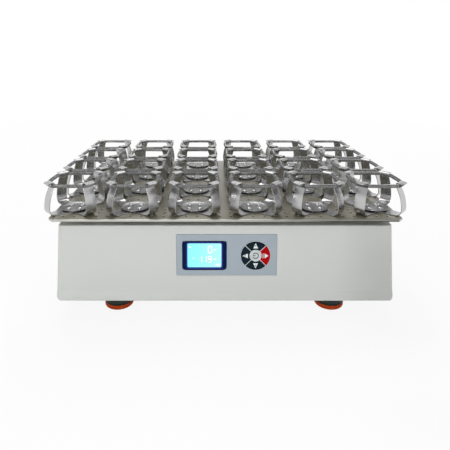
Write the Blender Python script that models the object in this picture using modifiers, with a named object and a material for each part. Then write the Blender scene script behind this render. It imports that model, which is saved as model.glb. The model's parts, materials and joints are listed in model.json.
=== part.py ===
"""Benchtop orbital shaker: sprung flask clamps on a tray that a crank carries round in a small circle.

Metres, +Z up, the control panel faces -Y. The origin is on the ground under the middle of the object.
A central crank drives a carriage plate, three idler cranks keep it from turning, and a belt turns the crank.
"""

from math import acos, asin, cos, pi, radians, sin, tan

import bmesh
import bpy
from mathutils import Matrix, Vector

# Driving dimensions
FLASK_DIAMETER = 0.085
CLAMP_COLUMNS = 6
CLAMP_ROWS = 4
COLUMN_SPACE = 0.0132
ROW_SPACE = 0.0081
ORBIT_RADIUS = 0.010
HOUSING_HEIGHT = 0.118
FOOT_HEIGHT = 0.0242

# Clearances
FIT_GAP = 0.0003
RUN_GAP = 0.0005
CUT_OVERRUN = 0.004
WELD_DISTANCE = 0.00001

# Flask clamp
CLAMP_HEIGHT = 0.045
CLAMP_CLEARANCE = 0.003
ARM_WIDTH = 0.016
ARM_SHEET = 0.0012
ARM_LEAN = 0.009
ARM_RISE = 0.017
SPRING_RADIUS = 0.0035
SPRING_SEAT = 0.0012
HOOK_REACH = 0.0032
HOOK_DROP = 0.001
ARM_RUN = 0.010
ARM_KNEE = 0.0025
ARM_KNEE_RISE = 0.0055
CLAMP_PLATE_RADIUS = 0.022
CLAMP_PLATE_SHEET = 0.0022
CLAMP_ARMS = 4

# Tray
TRAY_SIDE_MARGIN = 0.02875
TRAY_END_MARGIN = 0.0469
TRAY_SHEET = 0.002
TRAY_RIM = 0.004
TRAY_CORNER = 0.012
TRAY_BOLT_RADIUS = 0.004
TRAY_BOLT_SIDE_SHARE = 0.92
TRAY_BOLT_END_SHARE = 0.86

# Housing
HOUSING_OVERHANG = 0.0083
HOUSING_DRAFT = radians(3)
HOUSING_WALL = 0.002
HOUSING_ROLL = 0.007
HOUSING_TOP_ROUND = 0.003
PLATFORM_GAP = 0.012
BASE_SHEET = 0.003
SLOT_WIDTH = 0.003
SLOT_HEIGHT = 0.030
SLOT_PITCH = 0.009
SLOT_COUNT = 8
SLOT_SETBACK = 0.140
SLOT_RISE = 0.050

# Control panel
PANEL_WIDTH = 0.151
PANEL_HEIGHT = 0.0645
PANEL_DROP = 0.0140
PANEL_SIDE = 0.0025
PANEL_RECESS = 0.0006
PANEL_FLANGE = 0.003
PANEL_SHEET = 0.002
DISPLAY_WIDTH = 0.0665
DISPLAY_HEIGHT = 0.0445
DISPLAY_INSET = 0.0087
DISPLAY_DEPTH = 0.009
KEYPAD_RADIUS = 0.022
KEYPAD_INSET = 0.0100
CONTROL_DROP = 0.0009
KEY_CENTRE_RADIUS = 0.0083
KEY_SPACE = 0.0008
KEY_PROUD = 0.0010
KEY_SINK = 0.0025
KEY_TRAVEL = 0.0005
KEY_STEM_RADIUS = 0.002
KEY_STEM_PLACE = 0.015
BOARD_SIDE_MARGIN = 0.0045
BOARD_END_MARGIN = 0.0018
BOARD_SHEET = 0.0016
SWITCH_SIDE = 0.006
SWITCH_HEIGHT = 0.0035
STANDOFF_SIDE = 0.0056
STANDOFF_INSET = 0.003

# Feet
FOOT_RADIUS = 0.0225
FOOT_CUP_HEIGHT = 0.0162
FOOT_ROUND = 0.0035
FOOT_SIDE_SETBACK = 0.084
FOOT_END_SETBACK = 0.012

# Crank, counterweight and main bearing
SHAFT_RADIUS = 0.010
PIN_RADIUS = 0.008
WEB_RADIUS = 0.026
WEB_THICKNESS = 0.010
WEB_CLEARANCE = 0.004
WEIGHT_RADIUS = 0.058
WEIGHT_HUB_RADIUS = 0.018
WEIGHT_THICKNESS = 0.012
BEARING_RADIUS = 0.023
BEARING_FLANGE_RADIUS = 0.045
BEARING_FLANGE = 0.006
STACK_GAP = 0.0018
OPENING_CLEARANCE = 0.003

# Idler cranks
IDLER_SHAFT_RADIUS = 0.006
IDLER_PIN_RADIUS = 0.005
IDLER_WEB_RADIUS = 0.018
IDLER_WEB_THICKNESS = 0.008
IDLER_BEARING_RADIUS = 0.014
IDLER_FLANGE_RADIUS = 0.025
IDLER_FLANGE = 0.005
IDLER_SIDE_SETBACK = 0.062
IDLER_FRONT_SETBACK = 0.065
IDLER_REAR_SETBACK = 0.045
SHAFT_FOOT_GAP = 0.003

# Belt drive
DRIVE_PULLEY_RADIUS = 0.060
MOTOR_PULLEY_RADIUS = 0.020
PULLEY_FLANGE = 0.003
PULLEY_FLANGE_SHEET = 0.002
BELT_WIDTH = 0.012
BELT_SHEET = 0.0018
MOTOR_DISTANCE = 0.125
MOTOR_RADIUS = 0.044
MOTOR_HEIGHT = 0.036
MOTOR_NECK_RADIUS = 0.016
MOTOR_SHAFT_RADIUS = 0.005
MOTOR_SHAFT_GRIP = 0.010

# Carriage plate
CARRIAGE_THICKNESS = 0.009
CARRIAGE_EDGE = 0.028
CARRIAGE_CORNER = 0.020

# Mains inlet with rocker switch, and power supply
INLET_WIDTH = 0.028
INLET_HEIGHT = 0.050
INLET_DEPTH = 0.026
INLET_LIP = 0.004
INLET_PROUD = 0.0025
INLET_SETBACK = 0.101
INLET_RISE = 0.056
INLET_SOCKET_DROP = 0.0115
INLET_ROCKER_RISE = 0.0140
SOCKET_WIDTH = 0.0245
SOCKET_HEIGHT = 0.0170
SOCKET_DEPTH = 0.0160
ROCKER_WIDTH = 0.0190
ROCKER_HEIGHT = 0.0116
ROCKER_CLEARANCE = 0.0010
ROCKER_SIDE_GAP = 0.0004
ROCKER_DIP = 0.0010
ROCKER_DEPTH = 0.0060
ROCKER_TILT = radians(7)
SUPPLY_WIDTH = 0.060
SUPPLY_DEPTH = 0.105
SUPPLY_HEIGHT = 0.040
SUPPLY_SETBACK = 0.035
SUPPLY_EAR = 0.006
SUPPLY_EAR_SHEET = 0.002

# Roundness
FINE_SIDES = 24
PLAIN_SIDES = 16
BEVEL_STEPS = 3
SMOOTH_ANGLE = radians(40)
EVEN_BEVEL_SHARE = 0.5

# Sizes and places that follow from the driving dimensions
ARM_BULGE = FLASK_DIAMETER / 2 + CLAMP_CLEARANCE + ARM_SHEET / 2
ARM_NECK = ARM_BULGE - ARM_LEAN
HOOK_HEIGHT = CLAMP_HEIGHT + SPRING_RADIUS + ARM_SHEET
SPRING_LEAN = ARM_LEAN * (CLAMP_HEIGHT - ARM_RISE) / (HOOK_HEIGHT - ARM_RISE)
SPRING_PLACE = ARM_BULGE - SPRING_LEAN + ARM_SHEET / 2 + SPRING_RADIUS - SPRING_SEAT
HOOK_TIP = SPRING_PLACE + SPRING_RADIUS + HOOK_REACH
CLAMP_WIDTH = 2 * (HOOK_TIP + ARM_WIDTH / 2) * cos(pi / CLAMP_ARMS)
COLUMN_PITCH = CLAMP_WIDTH + COLUMN_SPACE
ROW_PITCH = CLAMP_WIDTH + ROW_SPACE
TRAY_WIDTH = (CLAMP_COLUMNS - 1) * COLUMN_PITCH + 2 * TRAY_SIDE_MARGIN
TRAY_DEPTH = (CLAMP_ROWS - 1) * ROW_PITCH + 2 * TRAY_END_MARGIN
HOUSING_WIDTH = TRAY_WIDTH - 2 * HOUSING_OVERHANG
HOUSING_DEPTH = TRAY_DEPTH - 2 * HOUSING_OVERHANG
CRANK_Y = (
    ORBIT_RADIUS + TRAY_DEPTH / 2 - max(HOUSING_DEPTH / 2 + INLET_PROUD, TRAY_DEPTH / 2 - ORBIT_RADIUS)
) / 2
PLATFORM_Y = CRANK_Y - ORBIT_RADIUS
TRAY_BOLT_SIDE = TRAY_BOLT_SIDE_SHARE * COLUMN_PITCH
TRAY_BOLT_END = TRAY_BOLT_END_SHARE * ROW_PITCH
HOUSING_FRONT = CRANK_Y - HOUSING_DEPTH / 2
HOUSING_REAR = CRANK_Y + HOUSING_DEPTH / 2
FOOT_SIDE = HOUSING_WIDTH / 2 - FOOT_SIDE_SETBACK
SLOT_SIDE = HOUSING_WIDTH / 2 - SLOT_SETBACK
INLET_SIDE = INLET_SETBACK - HOUSING_WIDTH / 2
HOUSING_TOP = FOOT_HEIGHT + HOUSING_HEIGHT
HOUSING_CEILING = HOUSING_TOP - HOUSING_WALL
TRAY_BOTTOM = HOUSING_TOP + PLATFORM_GAP
TRAY_TOP = TRAY_BOTTOM + TRAY_RIM
TRAY_UNDERSIDE = TRAY_TOP - TRAY_SHEET
CARRIAGE_TOP = TRAY_UNDERSIDE - FIT_GAP
CARRIAGE_BOTTOM = CARRIAGE_TOP - CARRIAGE_THICKNESS
BASE_TOP = FOOT_HEIGHT + BASE_SHEET
WEB_TOP = HOUSING_CEILING - WEB_CLEARANCE
WEB_BOTTOM = WEB_TOP - WEB_THICKNESS
WEIGHT_TOP = WEB_BOTTOM - FIT_GAP
WEIGHT_BOTTOM = WEIGHT_TOP - WEIGHT_THICKNESS
PULLEY_HEIGHT = BELT_WIDTH + 2 * PULLEY_FLANGE_SHEET + 2 * FIT_GAP
PULLEY_TOP = WEIGHT_BOTTOM - STACK_GAP / 2
PULLEY_BOTTOM = PULLEY_TOP - PULLEY_HEIGHT
BEARING_TOP = PULLEY_BOTTOM - STACK_GAP / 2
SHAFT_BOTTOM = BASE_TOP + SHAFT_FOOT_GAP
PANEL_CENTRE = HOUSING_TOP - PANEL_DROP - PANEL_HEIGHT / 2
CONTROL_CENTRE = PANEL_CENTRE - CONTROL_DROP
PANEL_FACE = HOUSING_FRONT + PANEL_RECESS
WALL_INSIDE = HOUSING_FRONT + HOUSING_WALL
PANEL_BACK = WALL_INSIDE + FIT_GAP + PANEL_SHEET
DISPLAY_BACK = PANEL_FACE + PANEL_RECESS + DISPLAY_DEPTH
BOARD_FRONT = DISPLAY_BACK + FIT_GAP
DISPLAY_SIDE = PANEL_SIDE - PANEL_WIDTH / 2 + DISPLAY_INSET + DISPLAY_WIDTH / 2
KEYPAD_SIDE = PANEL_SIDE + PANEL_WIDTH / 2 - KEYPAD_INSET - KEYPAD_RADIUS

parts = bpy.data.collections.new("benchtop_shaker")
cutters = bpy.data.collections.new("cutters")


def clear_scene():
    for old in list(bpy.data.objects):
        bpy.data.objects.remove(old)
    for collection in (parts, cutters):
        bpy.context.scene.collection.children.link(collection)


def material(name, colour, roughness, metallic):
    made = bpy.data.materials.new(name)
    made.use_nodes = True
    shader = made.node_tree.nodes["Principled BSDF"]
    shader.inputs["Base Color"].default_value = (*colour, 1)
    shader.inputs["Roughness"].default_value = roughness
    shader.inputs["Metallic"].default_value = metallic
    return made


def add_object(name, data, collection=parts):
    made = bpy.data.objects.new(name, data)
    collection.objects.link(made)
    if collection is cutters:
        made.hide_render = True
        made.display_type = "WIRE"
    return made


def finish(made, look):
    """Gives a piece its material and smooth shading on its round faces."""
    made.data.materials.clear()
    made.data.materials.append(look)
    made.data.shade_smooth()
    made.data.set_sharp_from_angle(angle=SMOOTH_ANGLE)
    return made


def mesh_object(name, shape, collection=parts):
    mesh = bpy.data.meshes.new(name)
    shape.to_mesh(mesh)
    shape.free()
    return add_object(name, mesh, collection)


def box(name, low, high, collection=parts):
    """A box between two corners."""
    size = Vector(high) - Vector(low)
    middle = (Vector(high) + Vector(low)) / 2
    shape = bmesh.new()
    bmesh.ops.create_cube(shape, size=1, matrix=Matrix.Translation(middle) @ Matrix.Diagonal((*size, 1)))
    return mesh_object(name, shape, collection)


def cylinder(name, centre, radius, bottom, top, sides=FINE_SIDES, collection=parts):
    """An upright cylinder round the point centre, given as x and y."""
    middle = Vector((*centre, (bottom + top) / 2))
    shape = bmesh.new()
    bmesh.ops.create_cone(
        shape, cap_ends=True, segments=sides, radius1=radius, radius2=radius, depth=top - bottom,
        matrix=Matrix.Translation(middle),
    )
    return mesh_object(name, shape, collection)


def as_mesh(name, source, collection=parts):
    """Turns a curve, or a piece with modifiers, into a welded mesh object and removes the source."""
    bpy.context.view_layer.update()
    depsgraph = bpy.context.evaluated_depsgraph_get()
    mesh = bpy.data.meshes.new_from_object(source.evaluated_get(depsgraph))
    shape = bmesh.new()
    shape.from_mesh(mesh)
    bmesh.ops.remove_doubles(shape, verts=shape.verts, dist=WELD_DISTANCE)
    shape.to_mesh(mesh)
    shape.free()
    mesh.transform(source.matrix_world)
    bpy.data.objects.remove(source)
    return add_object(name, mesh, collection)


def plate(name, outlines, bottom, top, collection=parts, turn=Matrix.Identity(4)):
    """A flat piece from closed outlines in x and y. The later outlines are holes in the first."""
    curve = bpy.data.curves.new(name, "CURVE")
    curve.dimensions = "2D"
    curve.fill_mode = "BOTH"
    curve.extrude = (top - bottom) / 2
    for outline in outlines:
        spline = curve.splines.new("POLY")
        spline.points.add(len(outline) - 1)
        for point, (x, y) in zip(spline.points, outline):
            point.co = (x, y, 0, 1)
        spline.use_cyclic_u = True
    source = add_object(name + "_outline", curve, cutters)
    source.matrix_world = turn @ Matrix.Translation((0, 0, (bottom + top) / 2))
    return as_mesh(name, source, collection)


def front_plate(name, outlines, near, far, collection=parts):
    """A plate that faces the front: its outlines are in x and z, and it lies from near to far along y."""
    return plate(name, outlines, -far, -near, collection, Matrix.Rotation(pi / 2, 4, "X"))


def side_plate(name, outlines, left, right, collection=parts):
    """A plate that faces the side: its outlines are in y and z, and it lies from left to right along x."""
    turn = Matrix.Rotation(pi / 2, 4, "Z") @ Matrix.Rotation(pi / 2, 4, "X")
    return plate(name, outlines, left, right, collection, turn)


def turned(name, centre, profile, sides=FINE_SIDES, collection=parts):
    """A turned piece from (radius, z) points that run down its outer side."""
    mesh = bpy.data.meshes.new(name)
    points = [(radius, 0, z) for radius, z in profile]
    closed = profile[0][0] > 0 and profile[-1][0] > 0
    edges = [(i, i + 1) for i in range(len(points) - 1)]
    if closed:
        edges.append((len(points) - 1, 0))
    mesh.from_pydata(points, edges, [])
    source = add_object(name + "_profile", mesh, cutters)
    source.location = (*centre, 0)
    screw = source.modifiers.new("turn", "SCREW")
    screw.steps = sides
    screw.render_steps = sides
    screw.use_merge_vertices = True
    screw.merge_threshold = WELD_DISTANCE
    screw.use_smooth_shade = False
    return as_mesh(name, source, collection)


def boolean(made, tool, operation):
    change = made.modifiers.new(tool.name, "BOOLEAN")
    change.operation = operation
    change.object = tool
    change.solver = "EXACT"


def cut(made, *tools):
    for tool in tools:
        boolean(made, tool, "DIFFERENCE")


def join(made, *tools):
    for tool in tools:
        boolean(made, tool, "UNION")


def tool_box(name, low, high):
    return box(name, low, high, cutters)


def tool_cylinder(name, centre, radius, bottom, top, sides=FINE_SIDES):
    return cylinder(name, centre, radius, bottom, top, sides, cutters)


def hang_on(made, carrier):
    """Parents a piece to the empty on its joint's axis, and leaves it where it is."""
    made.parent = carrier
    made.matrix_parent_inverse = carrier.matrix_world.inverted()


def axis_empty(name, place):
    empty = bpy.data.objects.new(name, None)
    empty.location = place
    empty.empty_display_size = ORBIT_RADIUS
    parts.objects.link(empty)
    bpy.context.view_layer.update()
    return empty


def arc(centre, radius, start, end, steps):
    """Points on an arc from start to end, both included."""
    angles = [start + (end - start) * i / steps for i in range(steps + 1)]
    return [(centre[0] + radius * cos(a), centre[1] + radius * sin(a)) for a in angles]


def circle(centre, radius, sides):
    return arc(centre, radius, 0, 2 * pi, sides)[:-1]


def clear_radius(radius, gap, steps, sweep=2 * pi):
    """The radius of an arc of straight steps whose flats still clear a round piece by the gap."""
    return (radius + gap) / cos(sweep / steps / 2)


def rounded_rectangle(width, depth, centre, corner, steps):
    points = []
    quarters = ((1, 1), (-1, 1), (-1, -1), (1, -1))
    for i, (x, y) in enumerate(quarters):
        middle = (centre[0] + x * (width / 2 - corner), centre[1] + y * (depth / 2 - corner))
        points += arc(middle, corner, i * pi / 2, (i + 1) * pi / 2, steps)
    return points


def idler_places():
    """The idler axes: two near the front corners and one at the middle of the back."""
    side = HOUSING_WIDTH / 2 - IDLER_SIDE_SETBACK
    front = HOUSING_FRONT + IDLER_FRONT_SETBACK
    rear = HOUSING_REAR - IDLER_REAR_SETBACK
    return {"front_left": (-side, front), "front_right": (side, front), "rear": (0, rear)}


def strip_outline(points, sheet):
    """The outline of a bent sheet, seen on its edge, from the points along its middle."""
    left = []
    right = []
    for i, point in enumerate(points):
        before = Vector(points[max(i - 1, 0)])
        after = Vector(points[min(i + 1, len(points) - 1)])
        here = Vector(point)
        into = (here - before).normalized() if i > 0 else (after - here).normalized()
        out = (after - here).normalized() if i < len(points) - 1 else into
        along = (into + out).normalized()
        side = Vector((-along.y, along.x)) * sheet / 2 / along.dot(into)
        left.append(tuple(here + side))
        right.append(tuple(here - side))
    return left + right[::-1]


def even_turns(count):
    """Angles spread evenly round a turn, the first half a step from the x axis."""
    return [(i + 1 / 2) * 2 * pi / count for i in range(count)]


def clamp_arm(turn):
    """One bent arm, from the base plate out to the bulge, in to the neck and out over the spring."""
    middle = CLAMP_PLATE_SHEET / 2
    points = [
        (CLAMP_PLATE_RADIUS - ARM_WIDTH / 4, middle),
        (ARM_BULGE - ARM_RUN, middle),
        (ARM_BULGE - ARM_KNEE, ARM_KNEE_RISE),
        (ARM_BULGE, ARM_RISE),
        (ARM_NECK, HOOK_HEIGHT),
        (HOOK_TIP, HOOK_HEIGHT - HOOK_DROP),
    ]
    stand = Matrix.Rotation(turn, 4, "Z") @ Matrix.Rotation(pi / 2, 4, "X")
    outline = strip_outline(points, ARM_SHEET)
    return plate("clamp_arm", [outline], -ARM_WIDTH / 2, ARM_WIDTH / 2, cutters, stand)


def clamp_ring():
    """The spring ring round the four necks, as a plain tube: straight across each arm and between arms."""
    curve = bpy.data.curves.new("clamp_ring", "CURVE")
    curve.dimensions = "3D"
    curve.bevel_depth = SPRING_RADIUS
    curve.bevel_resolution = 1
    curve.use_fill_caps = True
    spline = curve.splines.new("POLY")
    spline.points.add(2 * CLAMP_ARMS - 1)
    spline.use_cyclic_u = True
    for i, turn in enumerate(even_turns(CLAMP_ARMS)):
        for j, side in enumerate((-1, 1)):
            place = Vector((SPRING_PLACE, side * ARM_WIDTH / 2, CLAMP_HEIGHT))
            place.rotate(Matrix.Rotation(turn, 3, "Z"))
            spline.points[2 * i + j].co = (*place, 1)
    return as_mesh("clamp_ring", add_object("clamp_ring_path", curve, cutters), cutters)


def flask_clamps(look):
    """All the clamps share one mesh: base plate, four arms and spring ring in one piece."""
    corner = CLAMP_PLATE_RADIUS / cos(pi / (2 * CLAMP_ARMS))
    octagon = [(corner * cos(turn), corner * sin(turn)) for turn in even_turns(2 * CLAMP_ARMS)]
    model = plate("clamp_model", [octagon], 0, CLAMP_PLATE_SHEET, cutters)
    join(model, *[clamp_arm(turn) for turn in even_turns(CLAMP_ARMS)], clamp_ring())
    model = as_mesh("clamp_model_joined", model, cutters)
    finish(model, look)
    clamps = []
    for row in range(CLAMP_ROWS):
        for column in range(CLAMP_COLUMNS):
            clamp = add_object(f"flask_clamp_r{row + 1}_c{column + 1}", model.data)
            clamp.location = (
                (column - (CLAMP_COLUMNS - 1) / 2) * COLUMN_PITCH,
                PLATFORM_Y + (row - (CLAMP_ROWS - 1) / 2) * ROW_PITCH,
                TRAY_TOP + FIT_GAP,
            )
            clamps.append(clamp)
    return clamps


def tray_bolt_places():
    return [(x * TRAY_BOLT_SIDE, PLATFORM_Y + y * TRAY_BOLT_END) for x in (-1, 1) for y in (-1, 1)]


def tray(look):
    """Sheet with a folded rim, open below, and holes for the bolts into the carriage plate."""
    rim = rounded_rectangle(TRAY_WIDTH, TRAY_DEPTH, (0, PLATFORM_Y), TRAY_CORNER, BEVEL_STEPS)
    inner = rounded_rectangle(
        TRAY_WIDTH - 2 * TRAY_SHEET, TRAY_DEPTH - 2 * TRAY_SHEET, (0, PLATFORM_Y),
        TRAY_CORNER - TRAY_SHEET, BEVEL_STEPS,
    )
    holes = [circle(place, TRAY_BOLT_RADIUS, PLAIN_SIDES // 2) for place in tray_bolt_places()]
    made = plate("tray", [rim, *holes], TRAY_BOTTOM, TRAY_TOP)
    cut(made, plate("tray_pocket", [inner], TRAY_BOTTOM - CUT_OVERRUN, TRAY_UNDERSIDE, cutters))
    return finish(made, look)


def carriage_plate(look):
    """The plate under the tray, with bores for the crank pin, the three idler pins and the four bolts."""
    places = idler_places().values()
    right = max(x for x, y in places) + CARRIAGE_EDGE
    front = min(y for x, y in places) - ORBIT_RADIUS - CARRIAGE_EDGE
    rear = max(y for x, y in places) - ORBIT_RADIUS + CARRIAGE_EDGE
    middle = (0, (front + rear) / 2)
    outline = rounded_rectangle(2 * right, rear - front, middle, CARRIAGE_CORNER, BEVEL_STEPS)
    bores = [circle((0, PLATFORM_Y), clear_radius(PIN_RADIUS, RUN_GAP, FINE_SIDES), FINE_SIDES)]
    for x, y in places:
        radius = clear_radius(IDLER_PIN_RADIUS, RUN_GAP, PLAIN_SIDES)
        bores.append(circle((x, y - ORBIT_RADIUS), radius, PLAIN_SIDES))
    bores += [circle(place, TRAY_BOLT_RADIUS, PLAIN_SIDES // 2) for place in tray_bolt_places()]
    return finish(plate("carriage_plate", [outline, *bores], CARRIAGE_BOTTOM, CARRIAGE_TOP), look)


def housing_body():
    """The outer surface of the housing, wider at the foot by its draft, and open below."""
    shape = bmesh.new()
    size = (HOUSING_WIDTH, HOUSING_DEPTH, HOUSING_HEIGHT)
    middle = (0, CRANK_Y, FOOT_HEIGHT + HOUSING_HEIGHT / 2)
    bmesh.ops.create_cube(shape, size=1, matrix=Matrix.Translation(middle) @ Matrix.Diagonal((*size, 1)))
    spread = 1 + 2 * HOUSING_HEIGHT * tan(HOUSING_DRAFT) / HOUSING_WIDTH
    for vert in shape.verts:
        if vert.co.z < middle[2]:
            vert.co.x *= spread
    lower = [edge for edge in shape.edges if min(vert.co.z for vert in edge.verts) < middle[2]]
    bmesh.ops.bevel(
        shape, geom=lower, offset=HOUSING_ROLL, segments=BEVEL_STEPS, profile=EVEN_BEVEL_SHARE,
        affect="EDGES",
    )
    lid = max(shape.faces, key=lambda face: face.calc_center_median().z)
    bmesh.ops.bevel(
        shape, geom=list(lid.edges), offset=HOUSING_TOP_ROUND, segments=BEVEL_STEPS - 1,
        profile=EVEN_BEVEL_SHARE, affect="EDGES",
    )
    floor = min(shape.faces, key=lambda face: face.calc_center_median().z)
    bmesh.ops.delete(shape, geom=[floor], context="FACES")
    return mesh_object("housing_shell", shape)


def housing_shell(look):
    made = housing_body()
    solidify = made.modifiers.new("wall", "SOLIDIFY")
    solidify.thickness = HOUSING_WALL
    solidify.offset = -1
    solidify.use_even_offset = True
    front = tool_box(
        "panel_opening",
        (PANEL_SIDE - PANEL_WIDTH / 2, HOUSING_FRONT - CUT_OVERRUN, PANEL_CENTRE - PANEL_HEIGHT / 2),
        (PANEL_SIDE + PANEL_WIDTH / 2, WALL_INSIDE + CUT_OVERRUN, PANEL_CENTRE + PANEL_HEIGHT / 2),
    )
    centre = FOOT_HEIGHT + INLET_RISE
    inlet_side = INLET_WIDTH / 2 + FIT_GAP
    inlet_end = INLET_HEIGHT / 2 + FIT_GAP
    rear = tool_box(
        "inlet_opening",
        (INLET_SIDE - inlet_side, HOUSING_REAR - CUT_OVERRUN, centre - inlet_end),
        (INLET_SIDE + inlet_side, HOUSING_REAR + CUT_OVERRUN, centre + inlet_end),
    )
    cut(made, front, rear)
    openings = [((0, CRANK_Y), ORBIT_RADIUS + PIN_RADIUS + OPENING_CLEARANCE)]
    for place in idler_places().values():
        openings.append((place, ORBIT_RADIUS + IDLER_PIN_RADIUS + OPENING_CLEARANCE))
    for i, (place, radius) in enumerate(openings):
        low = HOUSING_CEILING - CUT_OVERRUN
        high = HOUSING_TOP + CUT_OVERRUN
        cut(made, tool_cylinder(f"pin_opening_{i}", place, radius, low, high, PLAIN_SIDES))
    for i in range(SLOT_COUNT):
        x = SLOT_SIDE + (i - (SLOT_COUNT - 1) / 2) * SLOT_PITCH
        z = FOOT_HEIGHT + SLOT_RISE
        slot = tool_box(
            f"cooling_slot_{i}",
            (x - SLOT_WIDTH / 2, HOUSING_REAR - CUT_OVERRUN, z - SLOT_HEIGHT / 2),
            (x + SLOT_WIDTH / 2, HOUSING_REAR + CUT_OVERRUN, z + SLOT_HEIGHT / 2),
        )
        cut(made, slot)
    return finish(made, look)


def base_plate(look):
    """The floor of the housing, inside its rolled lower edge."""
    foot = HOUSING_WIDTH / 2 + HOUSING_HEIGHT * tan(HOUSING_DRAFT)
    lip = HOUSING_ROLL + HOUSING_WALL / 2
    low = (lip - foot, HOUSING_FRONT + lip, FOOT_HEIGHT)
    return finish(box("base_plate", low, (foot - lip, HOUSING_REAR - lip, BASE_TOP)), look)


def front_panel(look):
    """The fascia in the housing's front opening, held by a wider flange behind the wall."""
    half = (PANEL_WIDTH / 2, PANEL_HEIGHT / 2)
    made = box(
        "front_panel",
        (PANEL_SIDE - half[0] - PANEL_FLANGE, WALL_INSIDE + FIT_GAP, PANEL_CENTRE - half[1] - PANEL_FLANGE),
        (PANEL_SIDE + half[0] + PANEL_FLANGE, PANEL_BACK, PANEL_CENTRE + half[1] + PANEL_FLANGE),
    )
    face = tool_box(
        "panel_face",
        (PANEL_SIDE - half[0] + FIT_GAP, PANEL_FACE, PANEL_CENTRE - half[1] + FIT_GAP),
        (PANEL_SIDE + half[0] - FIT_GAP, PANEL_BACK - PANEL_SHEET / 2, PANEL_CENTRE + half[1] - FIT_GAP),
    )
    window = tool_box(
        "display_opening",
        (DISPLAY_SIDE - DISPLAY_WIDTH / 2, HOUSING_FRONT - CUT_OVERRUN, CONTROL_CENTRE - DISPLAY_HEIGHT / 2),
        (DISPLAY_SIDE + DISPLAY_WIDTH / 2, PANEL_BACK + CUT_OVERRUN, CONTROL_CENTRE + DISPLAY_HEIGHT / 2),
    )
    keys = front_plate(
        "keypad_opening", [circle((KEYPAD_SIDE, CONTROL_CENTRE), KEYPAD_RADIUS, 2 * FINE_SIDES)],
        HOUSING_FRONT - CUT_OVERRUN, PANEL_BACK + CUT_OVERRUN, cutters,
    )
    join(made, face)
    cut(made, window, keys)
    return finish(made, look)


def display(look):
    half = (DISPLAY_WIDTH / 2 - FIT_GAP, DISPLAY_HEIGHT / 2 - FIT_GAP)
    low = (DISPLAY_SIDE - half[0], PANEL_FACE + PANEL_RECESS, CONTROL_CENTRE - half[1])
    return finish(box("display", low, (DISPLAY_SIDE + half[0], DISPLAY_BACK, CONTROL_CENTRE + half[1])), look)


def key_outline(direction):
    """A quarter of the keypad's ring, with straight sides along its gaps."""
    centre = (KEYPAD_SIDE, CONTROL_CENTRE)
    outer = KEYPAD_RADIUS - KEY_SPACE / 2
    inner = KEY_CENTRE_RADIUS + KEY_SPACE
    outer_side = pi / 4 - asin(KEY_SPACE / 2 / outer)
    inner_side = pi / 4 - asin(KEY_SPACE / 2 / inner)
    far = arc(centre, outer, direction - outer_side, direction + outer_side, FINE_SIDES // 3)
    near = arc(centre, inner, direction + inner_side, direction - inner_side, FINE_SIDES // 6)
    return far + near


def key(name, outline, stem_place, look):
    """A key cap with a stem behind it that ends just clear of its switch."""
    front = PANEL_FACE - KEY_PROUD
    made = front_plate(name, [outline], front, PANEL_BACK)
    stem_end = BOARD_FRONT - SWITCH_HEIGHT - FIT_GAP - KEY_TRAVEL
    stem = circle(stem_place, KEY_STEM_RADIUS, PLAIN_SIDES // 2)
    join(made, front_plate(name + "_stem", [stem], PANEL_BACK - PANEL_SHEET / 2, stem_end, cutters))
    return finish(made, look)


def key_directions():
    return {"key_start": 0, "key_up": pi / 2, "key_left": pi, "key_down": 3 * pi / 2}


def switch_places():
    centre = (KEYPAD_SIDE, CONTROL_CENTRE)
    places = {"key_power": centre}
    for name, direction in key_directions().items():
        x = KEYPAD_SIDE + KEY_STEM_PLACE * cos(direction)
        places[name] = (x, CONTROL_CENTRE + KEY_STEM_PLACE * sin(direction))
    return places


def keypad(dark, red, silver):
    places = switch_places()
    for name, direction in key_directions().items():
        look = red if name == "key_start" else dark
        key(name, key_outline(direction), places[name], look)
    cap = circle(places["key_power"], KEY_CENTRE_RADIUS, FINE_SIDES)
    key("key_power", cap, places["key_power"], silver)


def control_board(look):
    """The circuit board behind the panel, on four standoffs, with a switch behind each key."""
    half = (PANEL_WIDTH / 2 - BOARD_SIDE_MARGIN, PANEL_HEIGHT / 2 - BOARD_END_MARGIN)
    made = box(
        "control_board",
        (PANEL_SIDE - half[0], BOARD_FRONT, PANEL_CENTRE - half[1]),
        (PANEL_SIDE + half[0], BOARD_FRONT + BOARD_SHEET, PANEL_CENTRE + half[1]),
    )
    root = BOARD_FRONT + BOARD_SHEET / 2
    grip = STANDOFF_SIDE / 2
    for i, side in enumerate((-1, 1)):
        for j, end in enumerate((-1, 1)):
            x = PANEL_SIDE + side * (half[0] - STANDOFF_INSET)
            z = PANEL_CENTRE + end * (half[1] - STANDOFF_INSET)
            low = (x - grip, PANEL_BACK + FIT_GAP, z - grip)
            join(made, tool_box(f"standoff_{i}{j}", low, (x + grip, root, z + grip)))
    for name, (x, z) in switch_places().items():
        low = (x - SWITCH_SIDE / 2, BOARD_FRONT - SWITCH_HEIGHT, z - SWITCH_SIDE / 2)
        join(made, tool_box(f"switch_of_{name}", low, (x + SWITCH_SIDE / 2, root, z + SWITCH_SIDE / 2)))
    return finish(made, look)


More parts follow.
